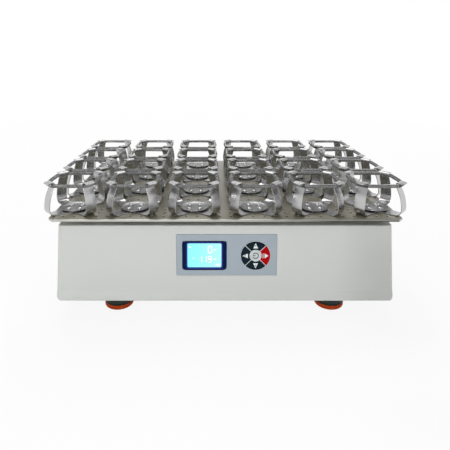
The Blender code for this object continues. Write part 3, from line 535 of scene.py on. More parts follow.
def surface(colour, roughness, metallic=0.0, drift=0.0, clouds=0.01, grain=0.0004, relief=0.00001,
            streak=(1, 1, 1), **settings):
    """A procedural material in real sizes.

    roughness is its lowest and highest value and drift the share by which the colour strays, both in
    patches of the size clouds. grain and relief are the width and height of the fine bumps, and streak
    stretches them along x, y, z.
    """
    look = bpy.data.materials.new("look")
    look.use_nodes = True
    tree = look.node_tree
    shader = tree.nodes["Principled BSDF"]
    place = add_node(tree, "TexCoord", {}).outputs["Object"]
    noise = {"Scale": 1 / clouds, "Detail": CLOUD_DETAIL, "Vector": place}
    patches = add_node(tree, "TexNoise", noise).outputs["Fac"]
    stretch = add_node(tree, "Mapping", {"Scale": [1 / s for s in streak], "Vector": place})
    noise = {"Scale": 1 / grain, "Detail": GRAIN_DETAIL, "Vector": stretch.outputs["Vector"]}
    height = add_node(tree, "TexNoise", noise).outputs["Fac"]
    bump = add_node(tree, "Bump", {"Distance": relief, "Height": height})
    feed(tree, shader, {
        "Base Color": (*colour, 1), "Metallic": metallic, "Normal": bump.outputs["Normal"],
        "Roughness": ranged(tree, patches, CLOUD_RANGE, roughness),
    })
    feed(tree, shader, {setting.replace("_", " "): value for setting, value in settings.items()})
    if drift:
        dark, pale = ([c * (1 + sign * drift) for c in colour] for sign in (-1, 1))
        feed(tree, shader, {"Base Color": tinted(tree, patches, dark, pale)})
    return look


def stainless_steel():
    return surface((0.54, 0.54, 0.54), (0.2, 0.27), 1.0, clouds=0.02, relief=0.000002, streak=(1, 1, 16))


# The arms' steel made darker for the dish: painted shade on the dish's upward face.
def dish_steel_painted_shade():
    return surface((0.30, 0.30, 0.30), (0.24, 0.4), 1.0, clouds=0.008, grain=0.0008, relief=0.00003)


def screw_steel():
    return surface((0.7, 0.7, 0.7), (0.12, 0.2), 1.0, clouds=0.004, grain=0.0003, relief=0.000003)


def spring_steel():
    return surface((0.33, 0.33, 0.33), (0.2, 0.32), 1.0, clouds=0.006, grain=0.0003, relief=0.000005)


def tray_grey():
    return surface(srgb(118, 114, 96), (0.3, 0.42), 0.2, 0.07, clouds=0.05, grain=0.0008, relief=0.000012,
                   streak=(12, 1, 1), Coat_Weight=0.6, Coat_Roughness=0.2)


def tray_rim():
    return surface(srgb(188, 188, 182), (0.3, 0.38), 1.0, 0.05, clouds=0.03, grain=0.0005, relief=0.000003,
                   streak=(20, 1, 1))


# Near-black hole walls: painted shade inside the tray's holes.
def tray_bore_painted_shade():
    return surface(srgb(38, 37, 32), (0.5, 0.7), 0.2, 0.1, relief=0.00003, streak=(8, 8, 1))


def housing_paint():
    return surface(srgb(208, 210, 207), (0.34, 0.46), 0.0, 0.012, clouds=0.09, grain=0.0011, relief=0.00003)


def panel_grey():
    return surface(srgb(163, 174, 183), (0.36, 0.48), 0.0, 0.02, clouds=0.03, grain=0.0005, relief=0.000012)


def bezel_navy():
    return surface(srgb(4, 26, 68), (0.3, 0.4), 0.0, 0.1, clouds=0.02, grain=0.0006, relief=0.000005,
                   Specular_IOR_Level=0.05)


def bezel_blue():
    return surface(srgb(0, 26, 140), (0.2, 0.3), 0.0, 0.08, grain=0.0006, relief=0.000005)


def screen_glow():
    """A lit display: cyan, paler towards the right where its lamp is."""
    look = surface(srgb(30, 120, 130), (0.08, 0.14), grain=0.0008, relief=0.000004, Emission_Strength=0.92)
    tree = look.node_tree
    place = add_node(tree, "SeparateXYZ", {"Vector": tree.nodes["Texture Coordinate"].outputs["Object"]})
    half = SCREEN_SIZE[0] / 2
    across = ranged(tree, place.outputs["X"], (-half, half), (0, 1))
    feed(tree, tree.nodes["Principled BSDF"], {"Emission Color": tinted(tree, across, *SCREEN_COLOURS)})
    return look


def digit_white():
    return surface((0.85, 0.92, 0.95), (0.3, 0.4), clouds=0.003, relief=0.000003,
                   Emission_Color=(0.9, 1.0, 1.0, 1), Emission_Strength=0.5)


def key_navy():
    return surface(srgb(20, 36, 46), (0.34, 0.46), 0.0, 0.1, Specular_IOR_Level=0.05)


def key_red():
    return surface(srgb(174, 4, 16), (0.34, 0.46), 0.0, 0.08, Specular_IOR_Level=0.05)


def key_silver():
    return surface(srgb(208, 213, 213), (0.3, 0.42), 0.3, 0.04, clouds=0.006, grain=0.0003, relief=0.000008)


def key_ink():
    return surface(srgb(232, 236, 236), (0.4, 0.5), 0.0, 0.03, clouds=0.002, grain=0.0003, relief=0.000006)


def key_mark():
    return surface(srgb(52, 60, 64), (0.4, 0.5), 0.0, 0.05, clouds=0.002, grain=0.0003, relief=0.000006)


def foot_cup_metal():
    return surface(srgb(46, 53, 51), (0.22, 0.34), 0.9, 0.08, clouds=0.012, streak=(1, 1, 0.2))


def foot_rubber():
    return surface(srgb(170, 62, 16), (0.46, 0.62), 0.0, 0.1, grain=0.0007, relief=0.00003,
                   Specular_IOR_Level=0.1)


def ground_steel():
    return surface((0.45, 0.45, 0.46), (0.18, 0.32), 1.0, 0.06, clouds=0.015, grain=0.0003, relief=0.000006,
                   streak=(1, 1, 0.1))


def cast_aluminium():
    return surface((0.52, 0.52, 0.53), (0.42, 0.6), 1.0, 0.08, grain=0.0009, relief=0.00005)


def rolled_aluminium():
    return surface((0.58, 0.58, 0.59), (0.28, 0.42), 1.0, 0.05, clouds=0.03, grain=0.0005, relief=0.000012,
                   streak=(18, 1, 1))


def zinc_plate():
    return surface((0.48, 0.49, 0.50), (0.3, 0.46), 1.0, 0.12, clouds=0.008, grain=0.0006, relief=0.000008)


def dark_steel():
    return surface(srgb(52, 52, 54), (0.3, 0.45), 0.8, 0.12, clouds=0.006)


def belt_rubber():
    return surface(srgb(30, 30, 31), (0.55, 0.7), 0.0, 0.1, grain=0.0005, relief=0.00004, streak=(1, 1, 6))


def black_plastic():
    return surface(srgb(26, 26, 28), (0.36, 0.5), 0.0, 0.08, clouds=0.008, grain=0.0005, relief=0.00002)


def board_green():
    return surface(srgb(22, 84, 46), (0.3, 0.42), 0.0, 0.12, clouds=0.006, grain=0.0008, relief=0.00002)


def seat_floor():
    """Pale floor that looks brighter than it is, most of all far out, and that keeps the shadow."""
    look = surface((0.88, 0.88, 0.88), (0.6, 0.8), 0.0, 0.01, clouds=0.4, grain=0.002, relief=0.00002)
    tree = look.node_tree
    place = tree.nodes["Texture Coordinate"].outputs["Object"]
    away = add_node(tree, "VectorMath", {0: place}, "operation", "LENGTH").outputs["Value"]
    share = ranged(tree, away, FLOOR_GLOW_REACH, FLOOR_GLOWS)
    glowing = worked_out(tree, "MULTIPLY", seen_by(tree, "Camera", "Glossy", "Transmission"), share)
    glow = add_node(tree, "Emission", {"Strength": 1.0}).outputs["Emission"]
    own = tree.nodes["Principled BSDF"].outputs["BSDF"]
    mix = add_node(tree, "MixShader", {"Fac": glowing, 1: own, 2: glow})
    feed(tree, tree.nodes["Material Output"], {"Surface": mix.outputs["Shader"]})
    return look


def flag_cloth():
    return surface(FLAG_GREY, (0.8, 0.9), 0.0, 0.1, clouds=0.2, grain=0.004, relief=0.0002)


def net_cloth():
    return surface(FLAG_GREY, (0.8, 0.9), 0.0, 0.1, clouds=0.2, grain=0.004, relief=0.0002, Alpha=NET_DENSITY)


NODE_LOOKS = {
    "base_plate": zinc_plate, "control_board": board_green, "drive_motor": cast_aluminium,
    "drive_belt": belt_rubber, "main_bearing": cast_aluminium, "idler_bearing": cast_aluminium,
    "power_supply": rolled_aluminium, "crank_shaft": ground_steel, "counterweight": dark_steel,
    "drive_pulley": rolled_aluminium, "motor_pulley": rolled_aluminium, "idler_crank": ground_steel,
    "carriage_plate": rolled_aluminium, "housing_shell": housing_paint, "front_panel": panel_grey,
    "display": bezel_navy, "key_start": key_red, "key_power": key_silver, "key_": key_navy,
    "foot_cup": foot_cup_metal, "foot_pad": foot_rubber, "power_inlet": black_plastic,
    "rocker_switch": black_plastic, "tray": tray_grey, "flask_clamp": stainless_steel,
}
LOOKS = {}


def look_of(make):
    """The material that a function makes: made once, and named after it."""
    if make not in LOOKS:
        LOOKS[make] = make()
        LOOKS[make].name = make.__name__
    return LOOKS[make]


def dress_nodes():
    """The CAD's own parts get the materials that their names call for."""
    for name, node in frame["nodes"].items():
        kind = next(kind for kind in NODE_LOOKS if name.startswith(kind))
        for slot in node.material_slots:
            slot.material = look_of(NODE_LOOKS[kind])


# Tray


def stepped_rectangle(half, counts, centre=(0.0, 0.0)):
    """A rectangle with even steps along its sides, anticlockwise from its far right corner."""
    points = []
    for side, (x, y) in enumerate(CORNERS):
        after = CORNERS[(side + 1) % 4]
        steps = counts[side % 2]
        for step in range(steps):
            share = step / steps
            points.append((
                centre[0] + half[0] * (x + (after[0] - x) * share),
                centre[1] + half[1] * (y + (after[1] - y) * share),
            ))
    return points


def tray_cell(shape, centre, top, bottom):
    """One square of the tray with a hole through it: pale at its countersunk mouth, with painted shade in its
    dark bore.
    """
    square = stepped_rectangle((HOLE_COLUMN_PITCH / 2, HOLE_ROW_PITCH / 2), (HOLE_QUARTER, HOLE_QUARTER))
    once_round = (pi / 4, 9 * pi / 4, 4 * HOLE_QUARTER)
    mouth, bore = (arc(radius, *once_round)[:-1] for radius in (HOLE_MOUTH, HOLE_RADIUS))
    rings = [
        level(square, top), level(mouth, top), level(bore, top - HOLE_SINK), level(bore, bottom),
        level(square, bottom),
    ]
    shape.banded(rings, (0, 1, 2, 0), Matrix.Translation((*centre, 0)))


def tray():
    """The perforated top sheet with clipped corners and a folded rim, in a darker top and a pale rim."""
    low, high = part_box("tray")
    middle = ((low + high) / 2).xy
    size = high - low
    top = high.z
    under = top - TRAY_SHEET
    shape = Shape()
    for column in range(HOLE_COLUMNS):
        for row in range(HOLE_ROWS):
            x = middle[0] + (column - (HOLE_COLUMNS - 1) / 2) * HOLE_COLUMN_PITCH
            y = middle[1] + (row - (HOLE_ROWS - 1) / 2) * HOLE_ROW_PITCH
            tray_cell(shape, (x, y), top, under)
    half = (HOLE_COLUMNS * HOLE_COLUMN_PITCH / 2, HOLE_ROWS * HOLE_ROW_PITCH / 2)
    counts = (HOLE_COLUMNS * HOLE_QUARTER, HOLE_ROWS * HOLE_QUARTER)
    field = stepped_rectangle(half, counts, middle)[::-1]
    rim = rounded_rectangle(size.xy, TRAY_CLIP, middle, 1)
    edge = inset(rim, TRAY_EDGE)
    inner = inset(rim, TRAY_SHEET)
    for outline, height in ((edge, top), (inner, under)):
        shape.fill((outline, field), height)
    soft = TRAY_EDGE * SOFT_SHARE
    fall = inset(rim, soft)
    foot = low.z + RIM_LIFT
    rings = [
        level(edge, top), level(fall, top - soft), level(rim, top - TRAY_EDGE), level(rim, foot + TRAY_EDGE),
        level(fall, foot), level(inset(inner, -FASCIA_EDGE), foot), level(inner, foot + FASCIA_EDGE),
        level(inner, under),
    ]
    shape.loft(rings, 1, None, OPEN)
    looks = (tray_grey, tray_rim, tray_bore_painted_shade)
    add_piece("tray_perforated", shape, looks, "platform", replaced=("tray",))
    for i, x in enumerate((-1, 1)):
        for j, y in enumerate((-1, 1)):
            side = x * size.x * BOLT_SIDE_SHARE / 2
            place = Matrix.Translation((side, middle[1] + y * size.y * BOLT_END_SHARE, top))
            bolt = screws(BOLT_SIZE)
            add_piece(f"tray_bolt_{i}{j}", bolt, (dark_steel,), "platform", place)


def screws(size, places=(None,)):
    """Button-headed screws with hexagon sockets, upright on their places."""
    radius, height = size
    rings = [level(circle(radius * out, SCREW_SIDES), height * up) for out, up in SCREW_HEAD_SHARES]
    rings += [level(hexagon(radius * out), height * up) for out, up in SCREW_SOCKET_SHARES]
    shape = Shape()
    for place in places:
        shape.loft(rings, 0, place)
    return shape


# Flask clamps


def strip(shape, path, half_widths, sheet, place):
    """A bent strip with softened edges along its middle line, which is given as reach and height."""
    soft = sheet * ARM_SOFT_SHARE
    thick = sheet / 2
    rings = []
    for i, here in enumerate(path):
        along = (path[min(i + 1, len(path) - 1)] - path[max(i - 1, 0)]).normalized()
        wide = half_widths[i]
        section = (
            (soft - wide, -thick), (wide - soft, -thick), (wide, soft - thick), (wide, thick - soft),
            (wide - soft, thick), (soft - wide, thick), (-wide, thick - soft), (-wide, soft - thick),
        )
        rings.append([(here.x - along.y * rise, across, here.y + along.x * rise) for across, rise in section])
    shape.loft(rings, 0, place)


def arm_path():
    """The arm's middle line, with close steps at its rounded tip."""
    path = rounded_path(ARM_POINTS, ARM_BENDS)
    tip = path.pop()
    root = path[-1]
    run = (tip - root).length
    for i in range(BEND_STEPS + 1):
        reach = ARM_TIP_CORNER * (1 - sin(pi / 2 * i / BEND_STEPS))
        path.append(tip.lerp(root, reach / run))
    return path


def arm_widths(path):
    """Half widths: a flare into the dish, a slow taper up to the hook, and round corners at the tip."""
    tip = path[-1]
    foot, hook = ARM_HALF_WIDTHS
    tallest = max(point.y for point in path)
    widths = []
    for i, point in enumerate(path):
        wide = foot + (hook - foot) * point.y / tallest
        wide += ARM_FLARE * max(0, 1 - point.x / ARM_FLARE_REACH) ** 0.5
        if i > len(path) - BEND_STEPS - 2:
            rest = max(ARM_TIP_CORNER - (tip - point).length, 0)
            wide -= ARM_TIP_CORNER - (ARM_TIP_CORNER ** 2 - rest ** 2) ** 0.5
        widths.append(wide)
    return widths


def clamp_turns():
    return [Matrix.Rotation((i + 0.5) * 2 * pi / ARM_COUNT, 4, "Z") for i in range(ARM_COUNT)]


def clamp_frame():
    """The dished base, whose darker steel is painted shade, and the four bent arms."""
    shape = Shape()
    shape.turned(DISH_PROFILE, 1)
    path = arm_path()
    widths = arm_widths(path)
    for turn in clamp_turns():
        strip(shape, path, widths, ARM_SHEET, turn)
    return mesh_of("clamp_frame", shape, (stainless_steel, dish_steel_painted_shade))


def spring_line():
    """The closed middle line of the spring: straight at each arm, and bowed a little between arms."""
    corners = []
    for turn in clamp_turns():
        for side in (-SPRING_HALF_SIDE, SPRING_HALF_SIDE):
            corners.append((turn @ Vector((SPRING_REACH, side, 0))).xy)
        near = corners[-1]
        after = (Matrix.Rotation(pi / 2, 4, "Z") @ turn @ Vector((SPRING_REACH, -SPRING_HALF_SIDE, 0))).xy
        middle = (near + after) / 2
        corners.append(middle + middle.normalized() * SPRING_BOW)
    closed = corners + corners[:2]
    line = rounded_path(closed, [SPRING_BEND] * (len(closed) - 2))
    return np.array([tuple(point) for point in line[1:-1]])


def clamp_spring():
    """The spring, wound turn by turn."""
    line = spring_line()
    closed = np.vstack((line, line[:1]))
    steps = np.hypot(*np.diff(closed, axis=0).T)
    along = np.concatenate(((0,), np.cumsum(steps)))
    turns = round(along[-1] / SPRING_PITCH)
    count = turns * WIRE_STEPS
    run = np.arange(count) * along[-1] / count
    place = np.stack([np.interp(run, along, closed[:, axis]) for axis in (0, 1)], 1)
    heading = np.roll(place, -1, 0) - np.roll(place, 1, 0)
    heading /= np.hypot(*heading.T)[:, None]
    out = np.stack((heading[:, 1], -heading[:, 0], np.zeros(count)), 1)
    up = np.array((0.0, 0.0, 1.0))
    turn = 2 * pi * np.arange(count)[:, None] / WIRE_STEPS
    spoke = out * np.cos(turn) + up * np.sin(turn)
    centre = np.column_stack((place, np.full(count, SPRING_HEIGHT)))
    wire = centre + spoke * (SPRING_RADIUS - SPRING_WIRE / 2)
    course = np.roll(wire, -1, 0) - np.roll(wire, 1, 0)
    course /= np.linalg.norm(course, axis=1)[:, None]
    side = np.cross(course, spoke)
    corners = [wire + spoke * x + side * y for x, y in circle(SPRING_WIRE / 2, WIRE_SIDES)]
    rings = np.stack(corners, 1).tolist()
    shape = Shape()
    shape.loft(rings + rings[:1], caps=OPEN)
    return mesh_of("clamp_spring", shape, (spring_steel,))


def clamp_screws():
    """Four button-headed screws on the dish."""
    bottom = DISH_PROFILE[0][1]
    reach = CLAMP_SCREW_PLACE
    places = [Matrix.Translation((x * reach, y * reach, bottom)) for x, y in CORNERS]
    return mesh_of("clamp_screws", screws(CLAMP_SCREW_SIZE, places), (screw_steel,))


def clamps():
    """The 24 clamps share three meshes: frame, spring and screws."""
    meshes = {"frame": clamp_frame(), "spring": clamp_spring(), "screws": clamp_screws()}
    for name in nodes_named("flask_clamp"):
        where = name.removeprefix("flask_clamp_")
        for kind, mesh in meshes.items():
            replaced = (name,) if kind == "frame" else ()
            put(f"clamp_{kind}_{where}", mesh, "platform", stand(name), replaced)


# Housing


def housing_ring(low, high, tucks, height):
    """The housing's outline at a height, moved in by the tucks at its sides and at its front and back."""
    lean = (height - low.z) * tan(HOUSING_DRAFT)
    size = (high.x - low.x - 2 * lean - 2 * tucks[0], high.y - low.y - 2 * tucks[1])
    corner = max(HOUSING_ROLL - tucks[0], HOUSING_TOP_ROUND)
    middle = ((low + high) / 2).xy
    return level(rounded_rectangle(size, corner, middle), height)


def band_flare(rise):
    """How far the band below the crease stands out at the front and back, at a height above its foot."""
    return BAND_FLARE * max(0, 1 - rise / CREASE_RISE)


def housing_rings(low, high, wall):
    """Outlines from the rolled foot up to the rounded top, moved in by the wall."""
    turns = [pi / 2 * i / CORNER_STEPS for i in range(CORNER_STEPS + 1)]
    stages = []
    for turn in turns:
        rise = HOUSING_ROLL * (1 - cos(turn))
        roll = 1 - sin(turn)
        tucks = (HOUSING_ROLL * roll + wall, FRONT_ROLL * roll - band_flare(rise) + wall)
        stages.append((tucks, low.z + rise))
    for rise in (CREASE_RISE - CREASE_BLEND, CREASE_RISE, CREASE_RISE + CREASE_BLEND):
        stages.append(((wall, wall - band_flare(rise)), low.z + rise))
    for turn in turns:
        tuck = HOUSING_TOP_ROUND * (1 - cos(turn)) + wall
        stages.append(((tuck, tuck), high.z - wall - HOUSING_TOP_ROUND * (1 - sin(turn))))
    return [housing_ring(low, high, tucks, height) for tucks, height in stages]


def cut_panel(cutter, face):
    """The opening in the front for the panel, with a chamfered mouth."""
    stages = ((2 * PANEL_CHAMFER, -PANEL_CHAMFER), (0, PANEL_CHAMFER), (0, HOUSING_WALL + CUT_OVERRUN))
    rings = []
    for wider, depth in stages:
        outline = rounded_rectangle(grown(PANEL_SIZE, wider), PANEL_CORNER + wider, PANEL_MIDDLE)
        rings.append(level(outline, -depth))
    cutter.loft(rings, 0, facing(0, face, 0))


def cut_cranks(cutter, top):
    """The round openings in the top for the crank and the three idlers."""
    for place, radius in ((CRANK_PLACE, CRANK_OPENING), *((place, IDLER_OPENING) for place in IDLER_PLACES)):
        hole = circle(radius, centre=place)
        mouth = circle(radius + 2 * FASCIA_EDGE, centre=place)
        low = top - HOUSING_WALL - CUT_OVERRUN
        cutter.loft([level(hole, low), level(hole, top - FASCIA_EDGE), level(mouth, top + FASCIA_EDGE)])


def cut_slots(cutter, rear):
    """The cooling slots in the back."""
    for i in range(SLOT_COUNT):
        x = SLOT_PLACE[0] + (i - (SLOT_COUNT - 1) / 2) * SLOT_PITCH
        slot = rounded_rectangle(SLOT_SIZE, SLOT_CORNER, (-x, SLOT_PLACE[1]))
        mouth = inset(slot, -2 * FASCIA_EDGE)
        rings = [level(slot, -CUT_OVERRUN), level(slot, -FASCIA_EDGE), level(mouth, FASCIA_EDGE)]
        cutter.loft(rings, 0, rear)


def cut_inlet(cutter, rear):
    """The opening in the back for the mains inlet."""
    (x, z), size = front_view(*inlet_body_box())
    outline = rounded_rectangle(grown(size, INLET_GAP), PANEL_CORNER, (-x, z))
    cutter.loft([level(outline, -CUT_OVERRUN), level(outline, CUT_OVERRUN)], 0, rear)


def housing():
    """The painted cover: rolled foot, crease, draft and rounded top, with its openings cut out."""
    low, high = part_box("housing_shell")
    outside = housing_rings(low, high, 0)
    inside = housing_rings(low, high, HOUSING_WALL)
    shape = Shape()
    shape.loft(outside, caps=(False, True))
    shape.loft(inside, caps=(False, True))
    shape.loft([outside[0], inside[0]], caps=OPEN)
    rear = facing(0, high.y, 0, REAR)
    cutter = Shape()
    cut_panel(cutter, low.y)
    cut_cranks(cutter, high.z)
    cut_slots(cutter, rear)
    cut_inlet(cutter, rear)
    mesh = mesh_of("housing_skin", shape, (housing_paint,), cutter)
    put("housing_skin", mesh, "housing", replaced=("housing_shell",))


def housing_screws():
    """Pan heads that hold the cover to the base: three at the back and two on each side."""
    low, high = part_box("housing_shell")
    rise = (CREASE_RISE + HOUSING_ROLL) / 2
    height = low.z + rise
    back = high.y + band_flare(rise) - FASCIA_EDGE
    places = [facing(high.x * share, back, height, REAR) for share in REAR_SCREW_SHARES]
    for side in (-1, 1):
        way = Matrix.Rotation(side * pi / 2, 4, "Z") @ FRONT
        x = side * (high.x - 4 * FASCIA_EDGE)
        places += [facing(x, y * SIDE_SCREW_SHARE, height, way) for y in (low.y, high.y)]
    shape = screws(HOUSING_SCREW_SIZE, places)
    add_piece("housing_screws", shape, (zinc_plate,), "housing")


def base_screws():
    """Low heads under the base plate."""
    low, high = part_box("base_plate")
    middle = (low + high) / 2
    half = (high - low) / 2
    down = Matrix.Rotation(pi, 4, "X")
    across = [middle.x + share * half.x for share in BASE_SCREW_SIDE_SHARES]
    back = [middle.y + share * half.y for share in BASE_SCREW_END_SHARES]
    places = [facing(x, y, low.z, down) for x in across for y in back]
    add_piece("base_screws", screws(HOUSING_SCREW_SIZE, places), (dark_steel,), "housing")


# Control panel


def panel_place(node, face):
    """The matrix that lays shapes over the middle of a node, level with the front of another."""
    x, z = front_view(*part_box(node))[0]
    return facing(x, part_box(face)[0].y, z)


def fascia():
    """The grey panel with openings for the display and the keypad."""
    low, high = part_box("front_panel")
    middle, size = front_view(*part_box("display"))
    window = rounded_rectangle(grown(size, FASCIA_GAP), SCREEN_CORNER, middle)[::-1]
    keys = circle(KEYPAD_RADIUS, centre=front_view(*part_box("key_power"))[0])[::-1]
    depth = high.y - low.y
    sheet = depth / 2
    shape = Shape()
    front = rounded_rectangle(grown(PANEL_SIZE, -FASCIA_GAP), PANEL_CORNER, PANEL_MIDDLE)
    shape.plate((front, window, keys), -sheet, 0, FASCIA_EDGE)
    wide = rounded_rectangle(front_view(low, high)[1], PANEL_CORNER, PANEL_MIDDLE)
    shape.plate((wide, window, keys), -depth, -sheet - FASCIA_EDGE, FASCIA_EDGE)
    place = facing(0, low.y, 0)
    add_piece("panel_fascia", shape, (panel_grey,), "housing", place, ("front_panel",))


def bezel():
    """The dark frame of the display, with a bright blue slope round the screen."""
    outer = rounded_rectangle(BEZEL_SIZE, BEZEL_CORNER)
    slope = rounded_rectangle(grown(SCREEN_SIZE, SCREEN_SLOPE), SCREEN_CORNER * 2)
    inner = rounded_rectangle(SCREEN_SIZE, SCREEN_CORNER)
    back = -2 * SCREEN_SINK
    rings = [
        level(outer, BEZEL_LIFT), level(outer, BEZEL_PROUD - BEZEL_EDGE / 2),
        level(inset(outer, BEZEL_EDGE), BEZEL_PROUD), level(slope, BEZEL_PROUD), level(inner, -SCREEN_SINK),
        level(inner, back), level(slope, back), level(slope, 0), level(outer, BEZEL_LIFT),
    ]
    shape = Shape()
    shape.banded(rings, (0, 0, 0, 1, 1, 0, 0, 0))
    place = panel_place("display", "front_panel")
    add_piece("display_bezel", shape, (bezel_navy, bezel_blue), "housing", place)


def character(shape, segments, middle, height, face):
    """A seven-segment character on a face, each segment a thin bar with pointed ends."""
    stroke = height * STROKE_SHARE / 2
    half = height / 4 * (1 - STROKE_SHARE / 2)
    for segment in segments:
        start, end = (Vector(point) * half + Vector(middle) for point in SEGMENT_LINES[segment])
        along = (end - start).normalized() * stroke
        side = Vector((-along.y, along.x))
        point, shoulder = (along * share for share in POINT_SHARES)
        near = start + shoulder
        far = end - shoulder
        outline = (start + point, near - side, far - side, end - point, far + side, near + side)
        shape.plate([[tuple(corner) for corner in outline]], face - DIGIT_RAISE, face + DIGIT_RAISE, 0, 1)


def screen():
    """The display's body with its lit face and raised white characters."""
    low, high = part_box("display")
    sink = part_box("front_panel")[0].y - low.y - SCREEN_SINK
    outline = rounded_rectangle(front_view(low, high)[1], SCREEN_CORNER)
    body = Shape()
    body.plate([outline], low.y - high.y, sink - BEZEL_EDGE)
    face = Shape()
    glass = rounded_rectangle(grown(SCREEN_SIZE, SCREEN_SLOPE / 2), SCREEN_CORNER)
    face.plate([glass], sink - BEZEL_EDGE, sink, DIGIT_RAISE)
    for segments, middle, height in READINGS:
        character(face, segments, middle, height, sink)
    place = panel_place("display", "display")
    add_piece("display_body", body, (bezel_navy,), "housing", place, ("display",))
    add_piece("display_screen_face", face, (screen_glow, digit_white), "housing", place)


def sector(direction):
    """The outline of a quarter key, anticlockwise, round the keypad's middle."""
    outer_side = pi / 4 - asin(KEY_GAP / 2 / KEY_OUTER)
    inner_side = pi / 4 - asin(KEY_GAP / 2 / KEY_INNER)
    far = arc(KEY_OUTER, direction - outer_side, direction + outer_side, 2 * CORNER_STEPS)
    near = arc(KEY_INNER, direction + inner_side, direction - inner_side, CORNER_STEPS)
    return far + near


def key_cap(shape, outline, depth):
    """A key with a softly rounded front edge."""
    soft = KEY_EDGE * SOFT_SHARE
    shape.loft([
        level(outline, -depth), level(outline, -KEY_EDGE), level(inset(outline, soft), -soft),
        level(inset(outline, KEY_EDGE), 0),
    ])


def sign(shape, outline, middle, turn=0.0, look=1, raised=SIGN_RAISE):
    place = Matrix.Translation((*middle, 0)) @ Matrix.Rotation(turn, 4, "Z")
    shape.plate([outline], -raised, raised, 0, look, place)


def arrow():
    """A triangle that points along x."""
    return [(SIGN_LENGTH / 2, 0), (-SIGN_LENGTH / 2, SIGN_SIDE), (-SIGN_LENGTH / 2, -SIGN_SIDE)]


def sector_key(name, direction):
    """An arrow key, or the red start key with its two bars and arrow."""
    low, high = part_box(name)
    shape = Shape()
    key_cap(shape, sector(direction), high.y - low.y)
    if name == "key_start":
        look = key_red
        *bars, tip = START_PLACES
        for reach in bars:
            sign(shape, bar(START_BAR, 2 * SIGN_SIDE), (reach, 0))
        sign(shape, [(x * START_SHARE, y) for x, y in arrow()], (tip, 0))
    else:
        look = key_navy
        middle = (SIGN_PLACE * cos(direction), SIGN_PLACE * sin(direction))
        sign(shape, arrow(), middle, direction)
        sign(shape, circle(PIP_RADIUS, SCREW_SIDES), middle, 0, 0, PIP_RAISE)
    place = panel_place("key_power", name)
    add_piece(name + "_moulded", shape, (look, key_ink), body_of(name), place, (name,))


def power_key():
    """The round silver key: a turned rim, and a power sign of an open ring and a bar."""
    name = "key_power"
    low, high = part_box(name)
    rim = KEY_CENTRE * POWER_RIM_SHARE
    soft = KEY_EDGE * SOFT_SHARE
    shape = Shape()
    shape.turned((
        (KEY_CENTRE, low.y - high.y), (KEY_CENTRE, -KEY_EDGE), (KEY_CENTRE - soft, -soft),
        (KEY_CENTRE - KEY_EDGE, 0), (rim, 0), (rim - KEY_EDGE, -POWER_DIP), (0, -POWER_DIP),
    ))
    start = pi + POWER_OPENING
    end = 3 * pi - POWER_OPENING
    radius = KEY_CENTRE * POWER_RING_SHARE
    stroke = KEY_CENTRE * POWER_STROKE_SHARE
    ring = arc(radius, start, end, 4 * CORNER_STEPS) + arc(radius - stroke, end, start, 4 * CORNER_STEPS)
    long, thick = POWER_STEM_SHARES
    stem = bar(radius * long, stroke * thick, -radius * POWER_STEM_PLACE_SHARE)
    for outline in (ring, stem):
        shape.plate([outline], -POWER_DIP - SIGN_RAISE, SIGN_RAISE - POWER_DIP, 0, 1)
    place = panel_place(name, name)
    add_piece("key_power_turned", shape, (key_silver, key_mark), body_of(name), place, (name,))


def key_grid():
    """The pale ribs that stand in the gaps between the keys."""
    low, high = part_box("front_panel")
    back = low.y - high.y
    shape = Shape()
    edge = KEYPAD_RADIUS - GRID_SHEET / 2
    for outer, inner in ((KEYPAD_RADIUS, edge), (KEY_INNER - GRID_SPACE, KEY_CENTRE + GRID_SPACE)):
        shape.plate([circle(outer), circle(inner)[::-1]], back, GRID_PROUD)
    length = KEYPAD_RADIUS - GRID_SHEET - KEY_INNER
    rib = bar(length, GRID_SHEET, KEY_INNER + length / 2)
    for i in range(4):
        turn = Matrix.Rotation(pi / 4 + i * pi / 2, 4, "Z")
        shape.plate([rib], back, GRID_PROUD, 0, 0, turn)
    place = panel_place("key_power", "front_panel")
    add_piece("keypad_grid", shape, (key_ink,), "housing", place)


def keypad():
    for i, name in enumerate(("key_start", "key_up", "key_left", "key_down")):
        sector_key(name, i * pi / 2)
    power_key()
    key_grid()


# Feet


def cup_profile(radius, tall):
    """The half outline of a metal cup with a lip and a groove."""
    steps = [(radius - FOOT_LIP * out, FOOT_GROOVE * up) for out, up in CUP_STEP_SHARES]
    side = steps[-1][0]
    return [(0, 0), *steps, (side, tall - FOOT_GROOVE), (radius - FOOT_LIP - FOOT_GROOVE, tall), (0, tall)]


def pad_profile(radius, tall):
    """The half outline of a rubber pad with a hollow middle and a rounded tread."""
    hollow, tread = (radius * share for share in PAD_HOLLOW_SHARES)
    curve = arc(PAD_ROUND, -pi / 2, 0, CORNER_STEPS, (radius - PAD_ROUND, PAD_ROUND))
    return [
        (0, FOOT_LIP), (hollow, FOOT_LIP), (tread, 0), *curve, (radius, tall - FOOT_LIP),
        (radius - FOOT_LIP, tall), (0, tall),
    ]


def feet():
    """Each foot is a turned metal cup and a turned rubber pad."""
    kinds = (("foot_cup", cup_profile, foot_cup_metal), ("foot_pad", pad_profile, foot_rubber))
    for kind, profile, look in kinds:
        for name in nodes_named(kind):
            low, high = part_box(name)
            shape = Shape()
            shape.turned(profile((high.x - low.x) / 2, high.z - low.z))
            add_piece(name + "_turned", shape, (look,), "housing", stand(name), (name,))


# Mains inlet and rocker


def inlet_body_box():
    """The box of the inlet behind its lip: the lip is wider by the same all round."""
    low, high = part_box("power_inlet")
    return low + INLET_LIP, high - INLET_LIP


def socket_outline(wider):
    """The opening of a mains inlet: a rectangle with two clipped corners."""
    x, y = (side / 2 + wider for side in SOCKET_SIZE)
    low = -y - SOCKET_DROP
    high = y - SOCKET_DROP
    shoulder = high - SOCKET_CORNER
    clip = x - SOCKET_CORNER
    return [(-x, low), (x, low), (x, shoulder), (clip, high), (-clip, high), (-x, shoulder)]


